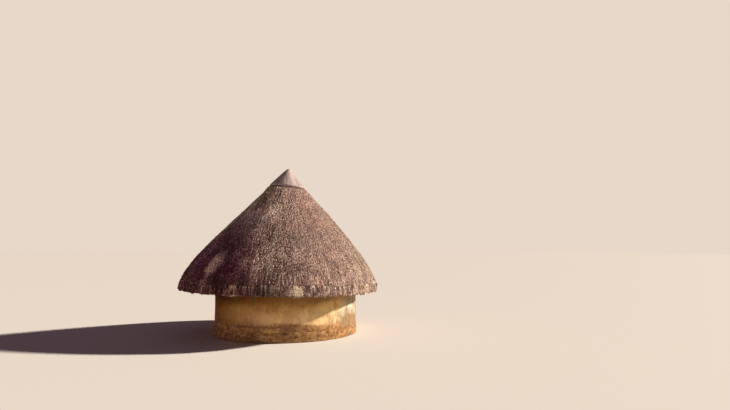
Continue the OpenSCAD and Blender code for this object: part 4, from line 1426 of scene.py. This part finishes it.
# ---------------------------------------------------------------------------
# Timbers
# ---------------------------------------------------------------------------
def sweep(piece, centre, across, up, section, size=1.0, tint=0.5, mat=0, round_off=0.0, smooth_face=True):
    """A solid that carries a closed section along centre. section is (points, 2) in the directions across and up; size scales it per row."""
    rows, cols = len(centre), section.shape[-2]
    size = np.broadcast_to(size, (rows,))
    section = np.broadcast_to(section, (rows, cols, 2))
    P = centre[:, None] + size[:, None, None] * (section[..., :1] * across[:, None] + section[..., 1:] * up[:, None])
    if round_off > 0:
        # a rounded arris at each end
        along = lengths_along(centre)
        first, last = (centre[1] - centre[0]) / along[1], (centre[-1] - centre[-2]) / (along[-1] - along[-2])
        small0 = centre[0] + (P[0] - centre[0]) * (1 - round_off / np.abs(section[0]).max())
        small1 = centre[-1] + (P[-1] - centre[-1]) * (1 - round_off / np.abs(section[-1]).max())
        P = np.concatenate([small0[None], P[:1] + first * round_off, P[1:-1], P[-1:] - last * round_off, small1[None]])
        centre = np.concatenate([centre[:1], centre[:1] + first * round_off, centre[1:-1], centre[-1:] - last * round_off, centre[-1:]])
    points, faces, ci, cj = net(P, False, True)
    start = piece.add_points(points, tint=tint)
    girth = np.concatenate([section[0], section[0][:1]])
    around = lengths_along(girth)
    along = lengths_along(centre)
    piece.add_faces(faces + start, np.stack([around[cj], along[ci]], -1), mat=mat, smooth=smooth_face)
    rows = len(P)
    first = start + np.arange(cols)
    last = start + (rows - 1) * cols + np.arange(cols)
    forward = centre[-1] - centre[0] if rows == 2 else centre[1] - centre[0]
    turned = np.cross(P[0] - centre[0], np.roll(P[0], -1, 0) - centre[0]).sum(0) @ forward
    sec0, sec1 = section[0], section[-1]
    if turned > 0:
        piece.add_faces(first[::-1][None], sec0[::-1] + 9.0, mat=mat, smooth=False)
        piece.add_faces(last[None], sec1 + 9.0, mat=mat, smooth=False)
    else:
        piece.add_faces(first[None], sec0 + 9.0, mat=mat, smooth=False)
        piece.add_faces(last[::-1][None], sec1[::-1] + 9.0, mat=mat, smooth=False)


def squared(w, h, bevel, n=3):
    """The section of a squared timber: w by h with rounded corners, middles of the sides included."""
    pts = []
    for cx, cy, q in ((1, 1, 0), (-1, 1, 1), (-1, -1, 2), (1, -1, 3)):
        for k in range(n):
            t = math.pi / 2 * (q + k / (n - 1))
            pts.append((cx * (w / 2 - bevel) + bevel * math.cos(t), cy * (h / 2 - bevel) + bevel * math.sin(t)))
        nx, ny = (0, cy) if q in (0, 2) else (cx, 0)
        pts.append((nx * w / 2 * 0.999, ny * h / 2 * 0.999))
    return np.array(pts)


def make_door_timbers():
    wood = make_wood("door_timber", (0.085, 0.058, 0.040), (0.155, 0.110, 0.078), (0.235, 0.178, 0.130))
    up = np.array([0, 0, 1.0])
    for name, side in (("door_post_left", -1), ("door_post_right", 1)):
        piece = Piece(f"{name}_hewn", ("tint",))
        z = np.linspace(SILL_TOP - 0.004, DOOR_TOP + 0.002, 34)
        rng = np.random.default_rng(120 + side)
        x = side * (DOOR_HALF + 0.045) + 0 * z
        y = WALL_RI - 0.008 + POST_D / 2 + 0 * z
        centre = np.stack([x, y, z], -1)
        sec = squared(0.090, POST_D, 0.009)
        sec = np.broadcast_to(sec[None], (len(z), *sec.shape)).copy()
        # the side towards the wall stays flat, the others are hewn
        free = (sec[..., 0] * side < 0.02)[..., None]
        hew = np.stack([round_noise(np.arctan2(sec[..., 1], sec[..., 0]), z[:, None] + 0 * sec[..., 0], 9, 0.19, 121 + side) for _ in range(1)], -1)
        sec = sec * (1 - 0.028 * (0.5 + 0.5 * hew) * free)
        wear = np.exp(-((z - 0.95) / 0.35) ** 2)[:, None, None] * 0.0025
        sec = sec - wear * np.sign(sec) * free
        sweep(piece, centre, np.tile([1.0, 0, 0], (len(z), 1)), np.tile([0, 1.0, 0], (len(z), 1)), sec, tint=0.35 + 0.25 * (side > 0))
        ob = piece.build([wood], [name])
        ob.data.set_sharp_from_angle(angle=math.radians(38))

    # lintel and sill follow the wall's curve
    def bent(name, half, r0, r1, z0, z1, bevel, rows, tint, wear=0.0):
        piece = Piece(f"{name}_hewn", ("tint",))
        x = np.linspace(-half, half, rows)
        sec = squared(r1 - r0, z1 - z0, bevel)
        grid = []
        for k, xx in enumerate(x):
            hew = 0.0022 * round_noise(np.arctan2(sec[:, 1], sec[:, 0]), np.full(len(sec), xx + 5), 8, 0.16, 131 + int(tint * 10))
            r = (r0 + r1) / 2 + sec[:, 0] * (1 + hew / 0.1) - 0.0015
            z = (z0 + z1) / 2 + sec[:, 1]
            dip = wear * np.exp(-(xx / 0.24) ** 2) * smooth(sec[:, 1], 0.0, (z1 - z0) / 2)
            z = z - dip
            grid.append(np.stack([np.full(len(sec), xx), np.sqrt(r * r - xx * xx), z], -1))
        grid = np.array(grid)
        points, faces, ci, cj = net(grid, False, True)
        start = piece.add_points(points, tint=tint)
        around = lengths_along(np.concatenate([sec, sec[:1]]))
        piece.add_faces(faces + start, np.stack([around[cj], x[ci] + 3.0], -1))
        n = len(sec)
        for loop, k in ((start + np.arange(n), 0), (start + (rows - 1) * n + np.arange(n), rows - 1)):
            p = grid[k]
            mid = p.mean(0)
            area = np.cross(p - mid, np.roll(p, -1, 0) - mid).sum(0)
            outward = np.array([1.0 if k else -1.0, 0, 0])
            s2 = sec
            if area @ outward < 0:
                loop, s2 = loop[::-1], sec[::-1]
            piece.add_faces(loop[None], s2 + 7.0, smooth=False)
        ob = piece.build([wood], [name])
        ob.data.set_sharp_from_angle(angle=math.radians(38))

    bent("door_lintel", LINTEL_HALF, WALL_RI + 0.010, WALL_R - 0.010, DOOR_TOP, DOOR_TOP + LINTEL_H, 0.008, 46, 0.5)
    bent("door_sill", ROUGH_HALF, WALL_RI, PLINTH_R, 0.0, SILL_TOP, 0.014, 36, 0.8, wear=0.012)


def make_roof_timbers():
    wood = make_wood("roof_timber", (0.105, 0.070, 0.046), (0.190, 0.136, 0.094), (0.285, 0.215, 0.155), grey=0.5)
    quarters = (("front", 225), ("left", 135), ("back", 45), ("right", -45))
    # wall plate, in its own tilted frame
    sec = squared(PLATE_W, PLATE_H, 0.010)
    for q, (name, a_start) in enumerate(quarters):
        piece = Piece(f"wall_plate_{name}_hewn", ("tint",))
        a = np.radians(a_start + 90 * np.linspace(0, 1, 49))
        a[0] += 0.0008
        a[-1] -= 0.0008
        grid = []
        for k, ang in enumerate(a):
            hew = 1 - 0.020 * (0.5 + 0.5 * round_noise(np.arctan2(sec[:, 1], sec[:, 0]), np.full(len(sec), ang * 2), 8, 0.2, 141 + q))
            r = PLATE_RI + PLATE_W / 2 + sec[:, 0] * hew
            z = -PLATE_H / 2 + sec[:, 1] * hew
            grid.append(np.stack([r * np.cos(ang), r * np.sin(ang), z], -1))
        grid = lean_over(np.array(grid), PLATE_TILT, (0, 0, PLATE_MID + NOTCH))
        points, faces, ci, cj = net(grid, False, True)
        start = piece.add_points(points, tint=0.2 + 0.2 * q)
        around = lengths_along(np.concatenate([sec, sec[:1]]))
        piece.add_faces(faces + start, np.stack([around[cj], (a * 1.93)[ci]], -1))
        n = len(sec)
        for k in (0, len(a) - 1):
            loop = start + k * n + np.arange(n)
            p = grid[k]
            mid = p.mean(0)
            area = np.cross(p - mid, np.roll(p, -1, 0) - mid).sum(0)
            outward = mid - grid[1 if k == 0 else k - 1].mean(0)
            s2 = sec
            if area @ outward < 0:
                loop, s2 = loop[::-1], sec[::-1]
            piece.add_faces(loop[None], s2 + 5.0, smooth=False)
        ob = piece.build([wood], [f"wall_plate_{name}"])
        ob.data.set_sharp_from_angle(angle=math.radians(38))

    # poles: round, a little crooked, with knots
    ring = np.linspace(0, TAU, 14, endpoint=False)
    for q, (name, a_start) in enumerate(quarters):
        piece = Piece(f"poles_{name}_round", ("tint",))
        for k in range(POLE_COUNT // 4):
            ang = math.radians(a_start + (k + 0.5) * 360 / POLE_COUNT)
            rng = np.random.default_rng(150 + q * 10 + k)
            rows = 34
            t = np.linspace(0, 1, rows)
            r = 0.150 + t * (POLE_REACH - 0.150)
            d = POLE_D0 + POLE_SLOPE * r
            c = in_roof(r, np.full(rows, ang), d)
            along = (c[-1] - c[0]) / np.linalg.norm(c[-1] - c[0])
            side = in_roof(np.array([0.01]), np.array([ang + math.pi / 2]), np.array([0.0]))[0] - in_roof(np.array([0.0]), np.array([0.0]), np.array([0.0]))[0]
            side /= np.linalg.norm(side)
            over = np.cross(side, along)
            p1, p2 = rng.uniform(0, TAU, 2)
            sway = 0.0035 * np.sin(TAU * 1.3 * t + p1)[:, None] * side + 0.0012 * np.sin(TAU * 2.1 * t + p2)[:, None] * over
            c = c + sway
            girth = (POLE_D / 2) * (0.955 + 0.035 * t)
            R = girth[:, None] * (1 + 0.022 * round_noise(ring[None] + 0 * t[:, None], t[:, None] * 3.1 + 0 * ring[None], 5, 0.32, 160 + 7 * q + k))
            for _ in range(3):
                kt, ka = rng.uniform(0.1, 0.95), rng.uniform(0, TAU)
                off = np.angle(np.exp(1j * (ring[None] - ka)))
                R = R + 0.0032 * np.exp(-((t[:, None] - kt) * 3.1 / 0.05) ** 2 - (off / 0.5) ** 2)
            R = np.minimum(R, POLE_D / 2 * 1.03)
            section = np.stack([R * np.cos(ring), R * np.sin(ring)], -1)
            sweep(piece, c, np.tile(side, (rows, 1)), np.tile(over, (rows, 1)), section, tint=float(rng.uniform(0, 1)), round_off=0.004)
        piece.build([wood], [f"poles_{name}"])

    # boss: a squat turned block that the poles butt against
    piece = Piece("apex_boss_cut", ("tint",))
    cols = 72
    a = np.arange(cols) * TAU / cols
    low = BOSS_LOW + 0.040
    top_in = THATCH_IN0 + 0.004
    sec = [
        (0.004, top_in), (0.10, top_in + 0.10 * POLE_SLOPE), (BOSS_R - 0.006, THATCH_IN0 + BOSS_R * POLE_SLOPE + 0.002),
        (BOSS_R - 0.001, THATCH_IN0 + BOSS_R * POLE_SLOPE + 0.012), (BOSS_R - 0.001, 0.93), (BOSS_R - 0.001, 1.00), (BOSS_R - 0.001, 1.06),
        (BOSS_R - 0.002, BOSS_LOW - 0.006), (BOSS_R - 0.006, BOSS_LOW + 0.004), (BOSS_R - 0.028, low - 0.005), (BOSS_R - 0.036, low - 0.001),
        (0.16, low), (0.08, low), (0.004, low),
    ]
    grid = []
    for k, (r, d) in enumerate(sec):
        rr = r * (1 - 0.012 * (0.5 + 0.5 * round_noise(a, np.full(cols, d * 3), 12, 0.3, 171)) * (r > 0.15))
        grid.append(in_roof(rr, a, np.full(cols, d)))
    grid = np.array(grid)
    points, faces, ci, cj = net(grid, True, True)
    start = piece.add_points(points, tint=0.6)
    depth = np.append([d for _, d in sec], sec[0][1])
    piece.add_faces(faces + start, np.stack([(np.append(a, TAU) * BOSS_R)[cj], depth[ci]], -1))
    ob = piece.build([wood], ["apex_boss"])
    ob.data.set_sharp_from_angle(angle=math.radians(32))


def make_laths():
    wood = make_wood("lath_wood", (0.150, 0.105, 0.066), (0.255, 0.190, 0.125), (0.360, 0.285, 0.200), fine_scale=220.0, grey=0.3)
    off = POLE_D / 2 + LATH_D / 2
    groups = (("laths_upper", 0, 3), ("laths_middle", 4, 7), ("laths_lower", 8, 10))
    side_n = 7
    ring = np.linspace(0, TAU, side_n, endpoint=False)
    for g, (name, first, last) in enumerate(groups):
        piece = Piece(f"{name}_tied", ("tint",))
        for i in range(first, last + 1):
            r0 = 0.360 + i * (POLE_REACH - 0.430) / (LATH_COUNT - 1)
            rc = r0 + off * POLE_SLOPE / POLE_LEN1
            dc = POLE_D0 + POLE_SLOPE * r0 - off / POLE_LEN1
            cols = int(64 + 64 * min(1, rc / 1.6))
            a = np.arange(cols) * TAU / cols
            # between poles a lath sags a touch towards them, and it is never quite round
            lift = 0.0016 * round_noise(a, a * 0, 16, 1.0, 181 + i)
            slide = 0.006 * round_noise(a, a * 0, 23, 1.0, 191 + i)
            thick = LATH_D / 2 * (0.93 + 0.06 * round_noise(a, a * 0, 40, 1.0, 201 + i))
            grid = []
            for q in ring:
                nr, nd = POLE_SLOPE / POLE_LEN1, -1 / POLE_LEN1  # outward, square to the slope
                tr, td = 1 / POLE_LEN1, POLE_SLOPE / POLE_LEN1  # down the slope
                u, v = thick * math.cos(q) + lift, thick * math.sin(q) + slide
                grid.append(in_roof(rc + nr * u + tr * v, a, dc + nd * u + td * v))
            grid = np.array(grid)
            points, faces, ci, cj = net(grid, True, True)
            start = piece.add_points(points, tint=(i * 0.37) % 1.0)
            around = np.append(ring, TAU) * LATH_D / 2
            piece.add_faces(faces + start, np.stack([around[ci], (np.append(a, TAU) * rc)[cj]], -1))
            # bark ties at every pole
            for k in range(POLE_COUNT):
                ang = math.radians(11.25 + k * 22.5)
                add_tie(piece, r0, ang, 0.006 * float(round_noise(np.array([ang]), np.array([0.0]), 23, 1.0, 191 + i)[0]), (i * 17 + k) % 7)
        piece.build([wood, TIE], [name])


def add_tie(piece, r0, ang, slide, kind):
    """Two turns of twisted fibre, crossed over a lath and round its pole."""
    centre = in_roof(np.array([r0]), np.array([ang]), np.array([POLE_D0 + POLE_SLOPE * r0]))[0]
    ahead = in_roof(np.array([r0 + 0.1]), np.array([ang]), np.array([POLE_D0 + POLE_SLOPE * (r0 + 0.1)]))[0] - centre
    ahead /= np.linalg.norm(ahead)
    side = in_roof(np.array([0.01]), np.array([ang + math.pi / 2]), np.array([0.0]))[0] - in_roof(np.array([0.0]), np.array([0.0]), np.array([0.0]))[0]
    side /= np.linalg.norm(side)
    up = np.cross(side, ahead)
    if up[2] < 0:
        up = -up
    centre = centre + ahead * slide
    pole_r, lath_r, thick = POLE_D / 2 * 0.99, LATH_D / 2, 0.0038
    for way in (-1, 1):
        skew = math.radians(34) * way
        flat = side * math.cos(skew) + ahead * math.sin(skew)
        # convex loop round both: pole below, lath above, both cut slantwise
        pts = []
        for q in np.linspace(math.radians(200), math.radians(340), 6):
            pts.append((pole_r / math.cos(skew) * math.cos(q) + 0, pole_r * math.sin(q)))
        for q in np.linspace(math.radians(-5), math.radians(25), 2):
            pts.append((pole_r / math.cos(skew) * math.cos(q), pole_r * math.sin(q)))
        top = pole_r + lath_r
        for q in np.linspace(math.radians(20), math.radians(160), 4):
            pts.append((lath_r / abs(math.sin(skew)) * math.cos(q) * 0.9, top + lath_r * math.sin(q)))
        for q in np.linspace(math.radians(155), math.radians(185), 2):
            pts.append((pole_r / math.cos(skew) * math.cos(q), pole_r * math.sin(q)))
        pts = np.array(pts) * 1.0
        grow = 1 + thick * 0.8 / np.maximum(np.hypot(pts[:, 0], pts[:, 1] - 0.008), 0.01)
        pts = np.stack([pts[:, 0] * grow, (pts[:, 1] - 0.008) * grow + 0.008], -1)
        line = centre + pts[:, :1] * flat + pts[:, 1:] * up
        axis = np.cross(flat, up)
        n = len(line)
        ahead_line = np.roll(line, -1, 0) - np.roll(line, 1, 0)
        ahead_line /= np.linalg.norm(ahead_line, axis=1, keepdims=True)
        out = np.cross(ahead_line, axis)
        grid = np.array([line + thick * (math.cos(q) * out + 1.25 * math.sin(q) * axis) for q in (0.3, 0.3 + TAU / 3, 0.3 + 2 * TAU / 3)])
        points, faces, ci, cj = net(grid, True, True)
        start = piece.add_points(points, tint=0.1 + 0.12 * kind)
        along = np.append(lengths_along(line), lengths_along(line)[-1] + 0.02)
        piece.add_faces(faces + start, np.stack([ci * 0.006, along[cj]], -1), mat=1)


TIE = make_wood("tie_fibre", (0.085, 0.055, 0.032), (0.165, 0.115, 0.070), (0.270, 0.205, 0.135), fine_scale=500.0, grey=0.2)

make_thatch()
EARTH = make_earth()
make_wall(EARTH)
make_base_course()
make_floor_disc()
make_roof_cap()
make_door_timbers()
make_roof_timbers()
make_laths()

# ---------------------------------------------------------------------------
# Floor of the studio
# ---------------------------------------------------------------------------
ground = bpy.data.meshes.new("studio_floor")
ground.from_pydata([(-150, -60, 0), (150, -60, 0), (150, 240, 0), (-150, 240, 0)], [], [(0, 1, 2, 3)])
ground_ob = bpy.data.objects.new("studio_floor", ground)
scene.collection.objects.link(ground_ob)
pale = bpy.data.materials.new("studio_pale")
pale.use_nodes = True
pale.node_tree.nodes["Principled BSDF"].inputs["Base Color"].default_value = (0.80, 0.77, 0.73, 1)
pale.node_tree.nodes["Principled BSDF"].inputs["Roughness"].default_value = 0.9
pale.node_tree.nodes["Principled BSDF"].inputs["Specular IOR Level"].default_value = 0.1
ground.materials.append(pale)
